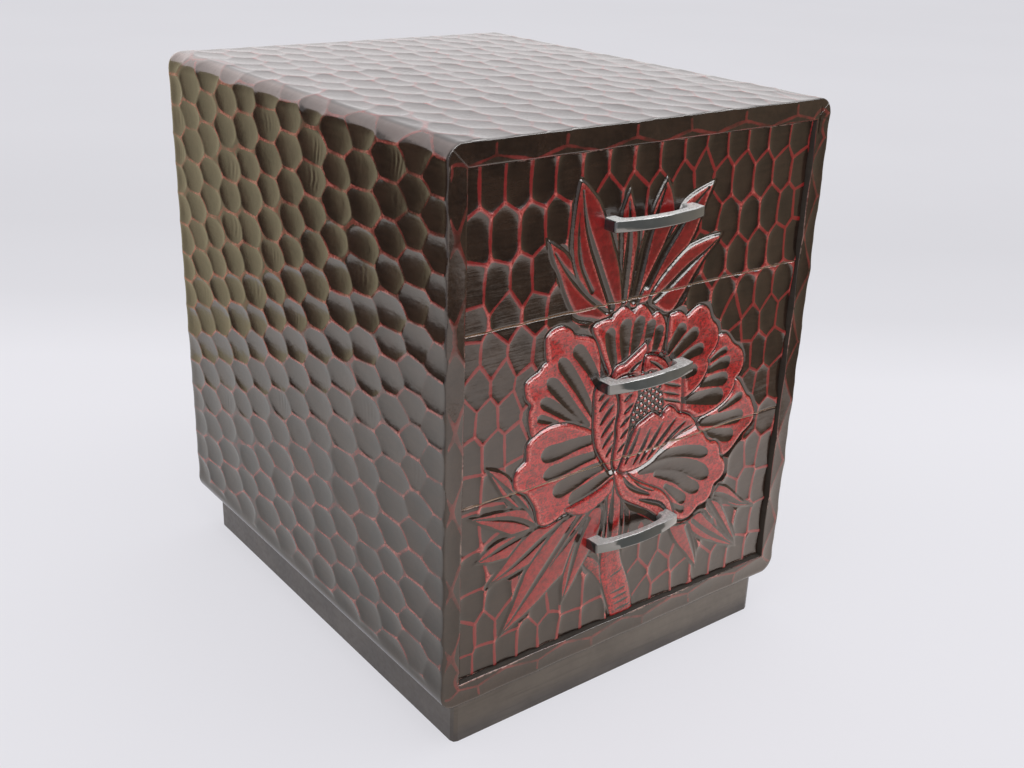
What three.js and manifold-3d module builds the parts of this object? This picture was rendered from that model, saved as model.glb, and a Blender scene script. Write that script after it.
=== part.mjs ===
// A small three-drawer lacquer chest on a plinth, in millimetres, +Z up, front facing -Y.
// The origin is on the floor, under the middle of the whole chest with its handles.
import * as THREE from 'three';
import { mergeVertices } from 'three/addons/utils/BufferGeometryUtils.js';
import Module from 'manifold-3d';

const wasm = await Module();
wasm.setup();

// ---------- driving dimensions (mm) ----------
const CASE_W = 210;          // case across the front
const CASE_D = 248;          // case from front edge to back edge
const PLINTH_H = 23;         // plinth height
const CASE_H = 246;          // case height above the plinth
const TOP_T = 10;            // top board
const BOTTOM_T = 11;         // bottom board
const SIDE_T = 9.5;          // side boards
const CORNER_R = 8;          // outer rounding of the four long corners
const CORNER_STEPS = 6;      // facets on half a rounding

const BACK_T = 4.5;          // thin back
const BACK_REBATE_D = 5;     // rebate depth from the back edge
const BACK_REBATE_W = 4;     // rebate width into the boards

const SHELF_T = 6;           // shelves that carry the drawers
const SHELF_GROOVE = 3.5;    // groove depth in the side boards
const SHELF_SETBACK = 13;    // shelf front edge behind the case's front
const UPPER_SHELF_Z = 190.2; // underside
const LOWER_SHELF_Z = 115;   // underside

const PLINTH_T = 12;         // plinth boards
const PLINTH_INSET_SIDE = 9.9;
const PLINTH_INSET_FRONT = 4.9;
const PLINTH_INSET_BACK = 5.8;

const FRONT_RECESS = 1.5;    // drawer fronts behind the case's front edge
const FRONT_T = 11;          // drawer front thickness
const FRONT_LEFT_GAP = 0.4;
const BOX_T = 6;             // drawer sides and back
const BOX_CLEAR = 1.2;       // drawer side to case side
const DRAWER_L = 240.7;      // drawer front plane to the rear end of its sides
const LAP = 5.5;             // front material left in front of the housed sides
const DRAWER_BOTTOM_T = 3;
const BOTTOM_GROOVE_UP = 4;  // groove above the sides' lower edge
const BOTTOM_GROOVE_DEEP = 3;
const BACK_DADO = 2;
const BACK_FROM_END = 8;     // rear end of the sides to the rear face of the drawer back

const HANDLE_H = 4.8;        // handle bar height
const HANDLE_HALF = 25.2;    // half length
const HANDLE_END = 6.2;      // how far the ends stand out from the drawer front
const HANDLE_MID = 10.2;     // how far the middle stands out
const HANDLE_BEVEL = 0.7;
const SCREW_X = 22;          // half the screw spacing
const SCREW_R = 1.4;
const SCREW_HOLE_R = 1.75;
const FOOT_HOLE_R = 1.6;
const SCREW_HEAD_R = 3.2;
const SCREW_HEAD_H = 1.9;
const SCREW_TIP = 3.7;       // screw tip past the front plane, inside the foot

const HANDLE_OUT = HANDLE_MID - FRONT_RECESS;   // past the case's front edge
const SHIFT_Y = HANDLE_OUT / 2;                 // puts the origin under the middle of the whole

// each drawer: lower and upper edge of its front, lower and upper edge of its box sides,
// handle height and place across the front, gap on the right
const DRAWERS = {
  top: { z0: 193.5, z1: 258.3, b0: 196.5, b1: 256.0, handle: 228.3, hx: -2.0, gap: 0.6 },
  middle: { z0: 118.5, z1: 192.9, b0: 121.3, b1: 188.7, handle: 157.4, hx: 0.3, gap: 0.9 },
  bottom: { z0: 34.8, z1: 117.9, b0: 34.3, b1: 113.5, handle: 80.5, hx: -0.5, gap: 1.2 },
};

// ---------- colours ----------
const lacquer = () => new THREE.MeshStandardMaterial({ color: 0x3a2c25, roughness: 0.35, metalness: 0 });
const plain = () => new THREE.MeshStandardMaterial({ color: 0x352b26, roughness: 0.45, metalness: 0 });
const wood = () => new THREE.MeshStandardMaterial({ color: 0xb58a5a, roughness: 0.7, metalness: 0 });
const black = () => new THREE.MeshStandardMaterial({ color: 0x0c0c0d, roughness: 0.15, metalness: 0 });
const steel = () => new THREE.MeshStandardMaterial({ color: 0x9a958a, roughness: 0.4, metalness: 1 });

// ---------- helpers ----------
// closed geometry -> solid, with its faces turned outward
function solid(geometry) {
  const g = geometry.index ? geometry.clone() : geometry;
  for (const name of Object.keys(g.attributes)) if (name !== 'position') g.deleteAttribute(name);
  const merged = mergeVertices(g, 1e-4);
  const p = merged.attributes.position.array;
  const raw = Array.from(merged.index.array);
  const tri = [];
  let volume = 0;
  for (let i = 0; i < raw.length; i += 3) {
    const [a, b, c] = [raw[i], raw[i + 1], raw[i + 2]];
    if (a === b || b === c || a === c) continue;
    tri.push(a, b, c);
    const [ax, ay, az] = [p[3 * a], p[3 * a + 1], p[3 * a + 2]];
    const [bx, by, bz] = [p[3 * b], p[3 * b + 1], p[3 * b + 2]];
    const [cx, cy, cz] = [p[3 * c], p[3 * c + 1], p[3 * c + 2]];
    volume += ax * (by * cz - bz * cy) + ay * (bz * cx - bx * cz) + az * (bx * cy - by * cx);
  }
  if (volume < 0) for (let i = 0; i < tri.length; i += 3) [tri[i + 1], tri[i + 2]] = [tri[i + 2], tri[i + 1]];
  return new wasm.Manifold(new wasm.Mesh({
    numProp: 3, vertProperties: new Float32Array(p), triVerts: new Uint32Array(tri),
  }));
}

function geometryOf(manifold) {
  const m = manifold.getMesh();
  const g = new THREE.BufferGeometry();
  g.setAttribute('position', new THREE.BufferAttribute(new Float32Array(m.vertProperties), 3));
  g.setIndex(new THREE.BufferAttribute(new Uint32Array(m.triVerts), 1));
  g.computeVertexNormals();
  return g;
}

// axis-aligned block given by its corners
function block(x0, x1, y0, y1, z0, z1) {
  return solid(new THREE.BoxGeometry(x1 - x0, y1 - y0, z1 - z0)
    .translate((x0 + x1) / 2, (y0 + y1) / 2, (z0 + z1) / 2));
}

// outline in X and Z, carried along Y from y0 to y1
function alongY(points, y0, y1) {
  const shape = new THREE.Shape(points.map(([x, z]) => new THREE.Vector2(x, z)));
  const g = new THREE.ExtrudeGeometry(shape, { depth: y1 - y0, bevelEnabled: false, steps: 1 });
  const p = g.attributes.position;
  for (let i = 0; i < p.count; i++) p.setXYZ(i, p.getX(i), y1 - p.getZ(i), p.getY(i));
  return solid(g);
}

// outline in X and Y, carried along Z from z0 to z1
function alongZ(points, z0, z1) {
  const shape = new THREE.Shape(points.map(([x, y]) => new THREE.Vector2(x, y)));
  const g = new THREE.ExtrudeGeometry(shape, { depth: z1 - z0, bevelEnabled: false, steps: 1 });
  return solid(g.translate(0, 0, z0));
}

// round bar along Y
function rodY(r, y0, y1, x, z, sides = 16) {
  return solid(new THREE.CylinderGeometry(r, r, y1 - y0, sides).translate(x, (y0 + y1) / 2, z));
}

function add(group, name, manifold, material) {
  const mesh = new THREE.Mesh(geometryOf(manifold), material);
  mesh.name = name;
  group.add(mesh);
  return mesh;
}

// ---------- case ----------
const HW = CASE_W / 2;
const FY = -CASE_D / 2;
const BY = CASE_D / 2;
const Z0 = PLINTH_H;
const Z1 = PLINTH_H + CASE_H;
const IX = HW - SIDE_T;      // inner faces of the sides
const IZ0 = Z0 + BOTTOM_T;   // upper face of the bottom
const IZ1 = Z1 - TOP_T;      // lower face of the top

// points on the rounding of one long corner, from angle a to angle b in degrees
function arc(cx, cz, a, b) {
  const out = [];
  for (let i = 0; i <= CORNER_STEPS; i++) {
    const t = THREE.MathUtils.degToRad(a + (b - a) * i / CORNER_STEPS);
    out.push([Math.fround(cx + CORNER_R * Math.cos(t)), Math.fround(cz + CORNER_R * Math.sin(t))]);
  }
  return out;
}
const CX = HW - CORNER_R;
const TOPC = Z1 - CORNER_R;
const BOTC = Z0 + CORNER_R;

const topOutline = [[IX, IZ1], ...arc(CX, TOPC, 45, 90), ...arc(-CX, TOPC, 90, 135), [-IX, IZ1]];
const bottomOutline = [[-IX, IZ0], ...arc(-CX, BOTC, 225, 270), ...arc(CX, BOTC, 270, 315), [IX, IZ0]];
const rightOutline = [[IX, IZ0], ...arc(CX, BOTC, 315, 360), ...arc(CX, TOPC, 0, 45), [IX, IZ1]];
const leftOutline = rightOutline.map(([x, z]) => [-x, z]).reverse();

const rebate = block(-IX - BACK_REBATE_W, IX + BACK_REBATE_W, BY - BACK_REBATE_D, BY + 5,
  IZ0 - BACK_REBATE_W, IZ1 + BACK_REBATE_W);
const shelfGroove = (z) => block(-IX - SHELF_GROOVE, IX + SHELF_GROOVE,
  FY + SHELF_SETBACK - 0.2, BY + 5, z - 0.1, z + SHELF_T + 0.1);
const grooves = shelfGroove(UPPER_SHELF_Z).add(shelfGroove(LOWER_SHELF_Z));

const chest = new THREE.Group();
chest.position.set(0, SHIFT_Y, 0);

const caseGroup = new THREE.Group();
chest.add(caseGroup);
add(caseGroup, 'top_panel', alongY(topOutline, FY, BY).subtract(rebate), lacquer());
add(caseGroup, 'bottom_panel', alongY(bottomOutline, FY, BY).subtract(rebate), plain());
add(caseGroup, 'left_side_panel', alongY(leftOutline, FY, BY).subtract(rebate).subtract(grooves), lacquer());
add(caseGroup, 'right_side_panel', alongY(rightOutline, FY, BY).subtract(rebate).subtract(grooves), lacquer());

const G = 0.2; // glue clearance of boards let into grooves and rebates
add(caseGroup, 'back_panel', block(-IX - BACK_REBATE_W + G, IX + BACK_REBATE_W - G,
  BY - BACK_REBATE_D, BY - BACK_REBATE_D + BACK_T,
  IZ0 - BACK_REBATE_W + G, IZ1 + BACK_REBATE_W - G), plain());
for (const [name, z] of [['upper_drawer_shelf', UPPER_SHELF_Z], ['lower_drawer_shelf', LOWER_SHELF_Z]]) {
  add(caseGroup, name, block(-IX - SHELF_GROOVE + G, IX + SHELF_GROOVE - G,
    FY + SHELF_SETBACK, BY - BACK_REBATE_D - G, z, z + SHELF_T), wood());
}

// ---------- plinth: four boards mitred at the corners ----------
const PX = HW - PLINTH_INSET_SIDE;
const PF = FY + PLINTH_INSET_FRONT;
const PB = BY - PLINTH_INSET_BACK;
const plinth = new THREE.Group();
chest.add(plinth);
const px = PX - PLINTH_T;
const pf = PF + PLINTH_T;
const pb = PB - PLINTH_T;
const PR = 2.5; // small rounding of the plinth's upright corners, as one chamfer each side of the mitre
const f = Math.fround;
const k = f(PR * (1 - Math.SQRT1_2));
const boards = {
  plinth_front: [[f(-PX + k), f(PF + k)], [f(-PX + PR), PF], [f(PX - PR), PF], [f(PX - k), f(PF + k)], [px, pf], [-px, pf]],
  plinth_back: [[f(PX - k), f(PB - k)], [f(PX - PR), PB], [f(-PX + PR), PB], [f(-PX + k), f(PB - k)], [-px, pb], [px, pb]],
  plinth_left: [[f(-PX + k), f(PB - k)], [-PX, f(PB - PR)], [-PX, f(PF + PR)], [f(-PX + k), f(PF + k)], [-px, pf], [-px, pb]],
  plinth_right: [[f(PX - k), f(PF + k)], [PX, f(PF + PR)], [PX, f(PB - PR)], [f(PX - k), f(PB - k)], [px, pb], [px, pf]],
};
for (const [name, outline] of Object.entries(boards)) add(plinth, name, alongZ(outline, 0, PLINTH_H), plain());

// ---------- handle: a bow with two feet, its back cut flat where it meets the drawer front ----------
function handleSolid() {
  const shape = new THREE.Shape();
  const w = HANDLE_HALF;
  const bow = (x) => -(HANDLE_MID - (HANDLE_MID - HANDLE_END) * (x / w) ** 2);
  shape.moveTo(w, 2);
  shape.lineTo(w, bow(w));
  for (let i = 1; i <= 20; i++) shape.lineTo(w - 2 * w * i / 20, bow(w - 2 * w * i / 20));
  shape.lineTo(-w, 2);
  shape.lineTo(-18.8, 2);
  const inner = [[-18.8, -1.2], [-18.2, -2.7], [-16.6, -3.9], [-13.5, -4.9], [-9.0, -5.8], [-4.5, -6.3], [0, -6.5]];
  for (const [x, y] of inner) shape.lineTo(x, y);
  for (const [x, y] of inner.slice(0, -1).reverse()) shape.lineTo(-x, y);
  shape.lineTo(18.8, 2);
  shape.closePath();
  const b = HANDLE_BEVEL;
  const g = new THREE.ExtrudeGeometry(shape, {
    depth: HANDLE_H - 2 * b, bevelEnabled: true, bevelThickness: b, bevelSize: b, bevelOffset: -b, bevelSegments: 2, steps: 1,
  }).translate(0, 0, -HANDLE_H / 2 + b);
  let out = solid(g).subtract(block(-40, 40, 0, 10, -10, 10));
  for (const sx of [-1, 1]) out = out.subtract(rodY(FOOT_HOLE_R, -SCREW_TIP - 0.5, 1, sx * SCREW_X, 0, 12));
  return out;
}

// ---------- screw: slotted round head inside the drawer, shank through the front into the foot ----------
function screwSolid() {
  const profile = [[0, -SCREW_TIP], [0.7, -SCREW_TIP], [SCREW_R, -SCREW_TIP + 1.1], [SCREW_R, FRONT_T], [SCREW_HEAD_R, FRONT_T],
    [SCREW_HEAD_R, FRONT_T + 0.8], [SCREW_HEAD_R * 0.86, FRONT_T + 1.4], [SCREW_HEAD_R * 0.5, FRONT_T + SCREW_HEAD_H], [0, FRONT_T + SCREW_HEAD_H]];
  const g = new THREE.LatheGeometry(profile.map(([r, y]) => new THREE.Vector2(r, y)), 14);
  return solid(g).subtract(block(-5, 5, FRONT_T + 1.0, FRONT_T + 4, -0.4, 0.4));
}

// ---------- drawers ----------
for (const [which, d] of Object.entries(DRAWERS)) {
  const drawer = new THREE.Group();
  drawer.position.set(0, FY + FRONT_RECESS, 0);  // its own frame starts at the front plane
  chest.add(drawer);
  const n = (part) => `${which}_drawer_${part}`;
  const xl = -IX + FRONT_LEFT_GAP;
  const xr = IX - d.gap;
  const bx = IX - BOX_CLEAR;       // outer faces of the box sides
  const ix = bx - BOX_T;           // inner faces
  const gz = d.b0 + BOTTOM_GROOVE_UP;
  const backY1 = DRAWER_L - BACK_FROM_END;
  const backY0 = backY1 - BOX_T;

  let front = block(xl, xr, 0, FRONT_T, d.z0, d.z1);
  for (const sx of [-1, 1]) {
    front = front.subtract(block(sx < 0 ? -IX - 5 : ix - G, sx < 0 ? -ix + G : IX + 5, LAP, FRONT_T + 5, Math.max(d.b0, d.z0) - (d.b0 < d.z0 ? 5 : G), d.b1 + G));
    front = front.subtract(rodY(SCREW_HOLE_R, -1, FRONT_T + 1, d.hx + sx * SCREW_X, d.handle, 14));
  }
  front = front.subtract(block(-ix - 1, ix + 1, FRONT_T - BOTTOM_GROOVE_DEEP - 0.1, FRONT_T + 5, gz - 0.1, gz + DRAWER_BOTTOM_T + 0.1));
  add(drawer, n('front'), front, lacquer());

  for (const [side, sx] of [['left', -1], ['right', 1]]) {
    let board = block(sx < 0 ? -bx : ix, sx < 0 ? -ix : bx, LAP, DRAWER_L, d.b0, d.b1);
    board = board.subtract(block(sx < 0 ? -ix - BOTTOM_GROOVE_DEEP - 0.1 : ix - 5, sx < 0 ? -ix + 5 : ix + BOTTOM_GROOVE_DEEP + 0.1,
      0, DRAWER_L + 5, gz - 0.1, gz + DRAWER_BOTTOM_T + 0.1));
    board = board.subtract(block(sx < 0 ? -ix - BACK_DADO - 0.1 : ix - 5, sx < 0 ? -ix + 5 : ix + BACK_DADO + 0.1,
      backY0 - 0.1, backY1 + 0.1, gz, d.b1 + 5));
    add(drawer, n(`${side}_side`), board, wood());
  }
  add(drawer, n('back'), block(-ix - BACK_DADO, ix + BACK_DADO, backY0, backY1, gz + DRAWER_BOTTOM_T + G, d.b1 - 2), wood());
  add(drawer, n('bottom'), block(-ix - BOTTOM_GROOVE_DEEP, ix + BOTTOM_GROOVE_DEEP, FRONT_T - BOTTOM_GROOVE_DEEP, DRAWER_L - 1,
    gz, gz + DRAWER_BOTTOM_T), wood());

  add(drawer, n('handle'), handleSolid(), black()).position.set(d.hx, 0, d.handle);
  for (const [side, sx] of [['left', -1], ['right', 1]]) {
    add(drawer, n(`handle_screw_${side}`), screwSolid(), steel()).position.set(d.hx + sx * SCREW_X, 0, d.handle);
  }
}

export default chest;
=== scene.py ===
# A small three-drawer lacquer chest: hand-gouged cells on every outer face, a peony in relief across the drawer fronts.
import bpy
import bmesh
import math
import numpy as np
from mathutils import Matrix, Vector


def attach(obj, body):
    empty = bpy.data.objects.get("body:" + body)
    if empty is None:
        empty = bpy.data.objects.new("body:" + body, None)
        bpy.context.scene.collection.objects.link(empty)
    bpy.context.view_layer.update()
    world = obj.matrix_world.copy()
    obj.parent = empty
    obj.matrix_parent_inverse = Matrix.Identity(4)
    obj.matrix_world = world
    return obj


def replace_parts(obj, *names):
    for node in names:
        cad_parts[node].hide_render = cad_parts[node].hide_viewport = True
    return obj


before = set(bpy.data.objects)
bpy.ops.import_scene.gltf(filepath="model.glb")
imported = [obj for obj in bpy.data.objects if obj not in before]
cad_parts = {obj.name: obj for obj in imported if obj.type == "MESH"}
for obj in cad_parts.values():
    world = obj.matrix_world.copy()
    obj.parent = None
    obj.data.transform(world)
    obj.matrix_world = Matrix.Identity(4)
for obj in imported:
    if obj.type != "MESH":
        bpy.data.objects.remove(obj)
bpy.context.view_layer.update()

# ---------------------------------------------------------------- sizes, in mm
HW = 105.0
YF, YB = -119.65, 128.35        # case front and back
ZB, ZT = 23.0, 269.0            # case underside and top
YD = -118.15                    # front plane of the drawer fronts
RC = 8.0                        # rounding of the four long corners
ARC = RC * math.pi / 2
STEP = 0.4    # grid of the relief
STEP_FRAME = 0.5
STEP_S, STEP_Y = ((0.62, 0.70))

rng = np.random.default_rng(7)


# ---------------------------------------------------------------- small maths
def smooth(lo, hi, v):
    t = np.clip((v - lo) / (hi - lo), 0.0, 1.0)
    return t * t * (3 - 2 * t)


def blur(a, sigma):
    """Gaussian blur, sigma in cells."""
    if sigma < 0.2:
        return a
    r = max(1, int(round(3 * sigma)))
    k = np.exp(-0.5 * (np.arange(-r, r + 1) / sigma) ** 2)
    k /= k.sum()
    for axis in (0, 1):
        pad = [(0, 0), (0, 0)]
        pad[axis] = (r, r)
        p = np.pad(a, pad, mode="edge")
        out = np.zeros_like(a)
        for i, w in enumerate(k):
            out += w * (p[i:i + a.shape[0], :] if axis == 0 else p[:, i:i + a.shape[1]])
        a = out
    return a


def value_noise(X, Y, size, seed):
    """Smooth random field between -1 and 1 with features of about size mm."""
    g = np.random.default_rng(seed)
    x0, y0 = X.min(), Y.min()
    nx = int((X.max() - x0) / size) + 4
    ny = int((Y.max() - y0) / size) + 4
    t = g.uniform(-1, 1, (nx, ny))
    fx, fy = (X - x0) / size, (Y - y0) / size
    ix, iy = fx.astype(int), fy.astype(int)
    u, v = fx - ix, fy - iy
    u, v = u * u * (3 - 2 * u), v * v * (3 - 2 * v)
    return (t[ix, iy] * (1 - u) * (1 - v) + t[ix + 1, iy] * u * (1 - v)
            + t[ix, iy + 1] * (1 - u) * v + t[ix + 1, iy + 1] * u * v)


def catmull(points, closed, per=5):
    """Smooth line through points. A third value of 1 marks a sharp point."""
    pts = [(p[0], p[1], len(p) > 2 and p[2]) for p in points]
    n = len(pts)
    out = []
    last = n if closed else n - 1
    for i in range(last):
        p1, p2 = pts[i], pts[(i + 1) % n]
        p0 = pts[i - 1] if (closed or i > 0) else p1
        p3 = pts[(i + 2) % n] if (closed or i + 2 < n) else p2
        if p1[2]:
            p0 = p1
        if p2[2]:
            p3 = p2
        for k in range(per):
            t = k / per
            c = [0.5 * (2 * p1[a] + (p2[a] - p0[a]) * t + (2 * p0[a] - 5 * p1[a] + 4 * p2[a] - p3[a]) * t * t
                        + (3 * p1[a] - p0[a] - 3 * p2[a] + p3[a]) * t ** 3) for a in (0, 1)]
            out.append(c)
    if not closed:
        out.append([pts[-1][0], pts[-1][1]])
    return np.array(out)


def poly_sd(P, X, Y):
    """Signed distance to a closed outline, positive inside."""
    d2 = np.full(X.shape, 1e9)
    inside = np.zeros(X.shape, bool)
    for i in range(len(P)):
        ax, ay = P[i]
        bx, by = P[(i + 1) % len(P)]
        ex, ey = bx - ax, by - ay
        wx, wy = X - ax, Y - ay
        t = np.clip((wx * ex + wy * ey) / (ex * ex + ey * ey + 1e-12), 0, 1)
        dx, dy = wx - t * ex, wy - t * ey
        d2 = np.minimum(d2, dx * dx + dy * dy)
        cross = (ay <= Y) != (by <= Y)
        if abs(ey) > 1e-12:
            inside ^= cross & (X < ax + (Y - ay) * ex / ey)
    return np.where(inside, 1.0, -1.0) * np.sqrt(d2)


def line_dist(P, X, Y):
    """Distance to an open line, the share of its length at the nearest point, and the side."""
    seg = np.hypot(*(P[1:] - P[:-1]).T)
    total = seg.sum()
    run = 0.0
    best = np.full(X.shape, 1e9)
    share = np.zeros(X.shape)
    side = np.zeros(X.shape)
    for i in range(len(P) - 1):
        ax, ay = P[i]
        ex, ey = P[i + 1] - P[i]
        wx, wy = X - ax, Y - ay
        t = np.clip((wx * ex + wy * ey) / (ex * ex + ey * ey + 1e-12), 0, 1)
        dx, dy = wx - t * ex, wy - t * ey
        d = np.hypot(dx, dy)
        m = d < best
        best = np.where(m, d, best)
        share = np.where(m, (run + t * seg[i]) / total, share)
        side = np.where(m, np.sign(ex * dy - ey * dx), side)
        run += seg[i]
    return best, share, side


# ---------------------------------------------------------------- gouged cells
def cells(X, Y, sites, base=-1.75, lift=0.95, seed=1, tilt=0.012, taper=0.0):
    """Surface left by overlapping scoops, one per site (x, y, half width, half height).
    taper makes a scoop narrower in y towards smaller x. Gives the height and the distance to the nearest ridge, in mm, and the height at the ridges as a share."""
    g = np.random.default_rng(seed)
    f1 = np.full(X.shape, 1e9)
    f2 = np.full(X.shape, 1e9)
    gx1, gy1 = np.zeros(X.shape), np.zeros(X.shape)
    gx2, gy2 = np.zeros(X.shape), np.zeros(X.shape)
    deep = np.zeros(X.shape)
    xs, ys = X[:, 0], Y[0, :]
    for cx, cy, a, b in sites:
        dz = g.uniform(-0.12, 0.12)
        tx, ty = g.uniform(-tilt, tilt, 2)
        i0, i1 = np.searchsorted(xs, [cx - 2.6 * a, cx + 2.6 * a])
        j0, j1 = np.searchsorted(ys, [cy - 2.6 * b, cy + 2.6 * b])
        if i1 <= i0 or j1 <= j0:
            continue
        w = (slice(i0, i1), slice(j0, j1))
        ux, uy = X[w] - cx, Y[w] - cy
        b = b * (1 + taper * np.tanh(ux / a)) if taper else b
        f = (ux / a) ** 2 + (uy / b) ** 2 + (dz + tx * ux + ty * uy) / lift
        gx, gy = 2 * ux / a ** 2 + tx / lift, 2 * uy / b ** 2 + ty / lift
        first = f < f1[w]
        second = ~first & (f < f2[w])
        f2[w] = np.where(first, f1[w], np.where(second, f, f2[w]))
        gx2[w] = np.where(first, gx1[w], np.where(second, gx, gx2[w]))
        gy2[w] = np.where(first, gy1[w], np.where(second, gy, gy2[w]))
        f1[w] = np.where(first, f, f1[w])
        gx1[w] = np.where(first, gx, gx1[w])
        gy1[w] = np.where(first, gy, gy1[w])
    f1 = np.minimum(f1, 2.5)
    f2 = np.minimum(f2, 9)
    ridge = (f2 - f1) / np.maximum(np.hypot(gx1 - gx2, gy1 - gy2), 1e-3)
    return base + lift * np.minimum(f1, 1.9), ridge, f1


def ridge_red(ridge, f1, X, Y, seed, width=0.5, node=0.9):
    """0 to 1: where the red layer shows along a ridge, wider at the high points."""
    w = width + node * smooth(1.0, 1.45, f1) + 0.22 * value_noise(X, Y, 9.0, seed) + 0.12 * value_noise(X, Y, 2.6, seed + 1)
    return np.clip(0.5 + (w - ridge) / 1.3, 0, 1)


# ---------------------------------------------------------------- the relief across the drawer fronts
# Face coordinates: x from the case's left edge, y down from the case's top, in mm.
GX = np.arange(8.0, 202.01, STEP)
GY = np.arange(8.4, 236.41, STEP)
X, Y = np.meshgrid(GX, GY, indexing="ij")

GROUND = [
    # first row under the rail
    (10.5, 17), (22, 17), (34, 17.5), (46, 18), (58.5, 18.5), (72.3, 18), (86, 17.5), (100, 17.5), (114, 17), (127.3, 15.5),
    (140, 17), (152.6, 15), (165.6, 15.5), (179, 15), (192.5, 17),
    # second row
    (15.5, 38), (28.5, 38), (42, 38), (54, 36.5), (67, 38), (80, 32), (95, 32), (108, 34), (122, 30.5), (133.6, 26), (145, 31),
    (157.8, 30.5), (171, 31), (183.5, 30.5), (195.5, 32),
    # left of the leaves, then down the left side
    (13.5, 57), (25.4, 58.5), (38, 57.5), (47.5, 56), (14, 72), (30, 71), (45, 72), (57, 74),
    (13, 86), (24.5, 86.5), (38.5, 88), (50, 90), (17.5, 98.5), (30, 98.5), (42, 104), (11.5, 112), (22.5, 114), (33.5, 113),
    (14.5, 130), (27, 129), (36.8, 128), (14, 144.5), (27, 146), (38, 142), (46, 118),
    (14, 163), (26, 160), (16, 184), (29, 176), (16.5, 199), (30.5, 201), (13, 215), (24.3, 214), (35.5, 213), (47, 203),
    (12.8, 230), (23.8, 229), (36, 227), (48, 227), (59.5, 226), (55, 213), (61.5, 210), (73, 214.5), (72.8, 230), (85.5, 229), (85, 214),
    # right of the leaves, then down the right side
    (139, 45), (151, 50.5), (164.5, 50.5), (178, 47.5), (189.3, 48.5), (197.5, 47), (144.5, 68), (159, 67.5), (172, 66.5), (185.5, 65.5),
    (196, 64), (136, 60), (130, 46), (137, 82), (152.7, 84.5), (160.3, 95.5), (168, 87.5), (180, 87), (192, 85.5), (173.5, 102.5), (186.3, 100),
    (196.5, 101), (163, 108), (180.5, 118), (192.3, 117.5), (172, 120), (186.5, 136), (196.5, 134), (177, 134), (192, 154), (180, 152),
    (175.8, 174.5), (185.3, 171), (195, 174), (183.5, 188.5), (194.5, 192), (185, 209), (195.5, 211), (172, 190), (169, 227), (182, 228),
    (194, 228), (170, 205), (157, 226), (162, 212),
    # under the flower
    (107, 204.5), (119.5, 204), (112.5, 218.5), (127.5, 217), (132, 205), (117, 230), (129.5, 230), (142.5, 227), (140, 214), (104, 226),
    # beyond the borders, so that the rows run on under the frame
    (1, 28), (2, 48), (1.5, 66), (1, 79), (1, 99), (0.5, 121), (1.5, 137), (1, 153.5), (2, 174), (2.5, 191), (1, 207), (1, 222),
    (206, 20), (208, 40), (209, 56), (208, 74), (206, 92.5), (208, 109), (206, 125.5), (209, 144), (206.5, 164), (208, 183), (207, 201), (208, 220),
    (10, -3), (28, -2.5), (52, -2), (79, -3), (107, -3), (134, -4), (158, -5), (186, -4),
    (18, 247), (30, 246), (42, 246), (54, 247), (67, 247), (79, 247), (110, 248), (123, 248), (136, 247), (150, 246), (163, 245), (176, 246), (188, 247),
]
sites = [(x, y, 6.6, 10.2) for x, y in GROUND]
H, ridge, f1 = cells(X, Y, sites, lift=0.9, seed=11, tilt=0.005)
H = -1.44 + 0.42 * np.clip((f1 + 0.3) / 1.3, 0.0, 1.30) ** 3.2      # flat floors, walls that rise steeply to the ridges
R = ridge_red(ridge, f1, X, Y, 21, width=0.78, node=1.0)
M = np.zeros_like(H)
MOT = np.zeros_like(H)   # where the red is mottled


SHIFT = (0.75, 0.6)    # the carved tops lie a little under the plane their outlines are given on


def window(P, margin):
    i0, i1 = np.searchsorted(GX, [P[:, 0].min() - margin, P[:, 0].max() + margin])
    j0, j1 = np.searchsorted(GY, [P[:, 1].min() - margin, P[:, 1].max() + margin])
    return slice(i0, i1), slice(j0, j1)


def groove(points, w, deep, kind, mask_win=None, wide=0.0, lean=0.35, dark=1.0, mask=None):
    """Cuts one gouge along a line. kind: flute (round at the rim, narrowing), hatch (pointed), vein (narrow at the tip)."""
    P = catmull([tuple(p) for p in points], False, 4) + SHIFT
    win = window(P, w + 7)
    x, y = X[win], Y[win]
    d, t, side = line_dist(P, x, y)
    if kind == "flute":
        k = np.where(t < 0.16, np.sqrt(np.clip(t / 0.16 * (2 - t / 0.16), 0, 1)), 1 - 0.52 * np.clip((t - 0.16) / 0.84, 0, 1) ** 1.5)
    elif kind == "hatch":
        k = np.sin(math.pi * np.clip(t, 0.002, 0.998)) ** 0.55
    elif kind == "even":
        k = np.minimum(1, np.minimum(t, 1 - t) * 12 + 0.15)
    else:
        k = 0.25 + 0.75 * smooth(0, 0.55, t)
    ww = np.maximum(w * k, 0.05)
    u = d / ww
    ins = mask[win] if mask is not None else 1.0
    body = np.clip(1 - u * u, 0, 1) * (1 + lean * side * np.minimum(u, 1))
    cut = -deep * (0.35 + 0.65 * k) * body
    if wide:
        cut -= wide * np.exp(-(d / 2.6) ** 2) * k
    H[win] += cut * ins
    shade = smooth(1.08, 0.80, u) * ins * dark
    R[win] *= 1 - shade


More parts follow.
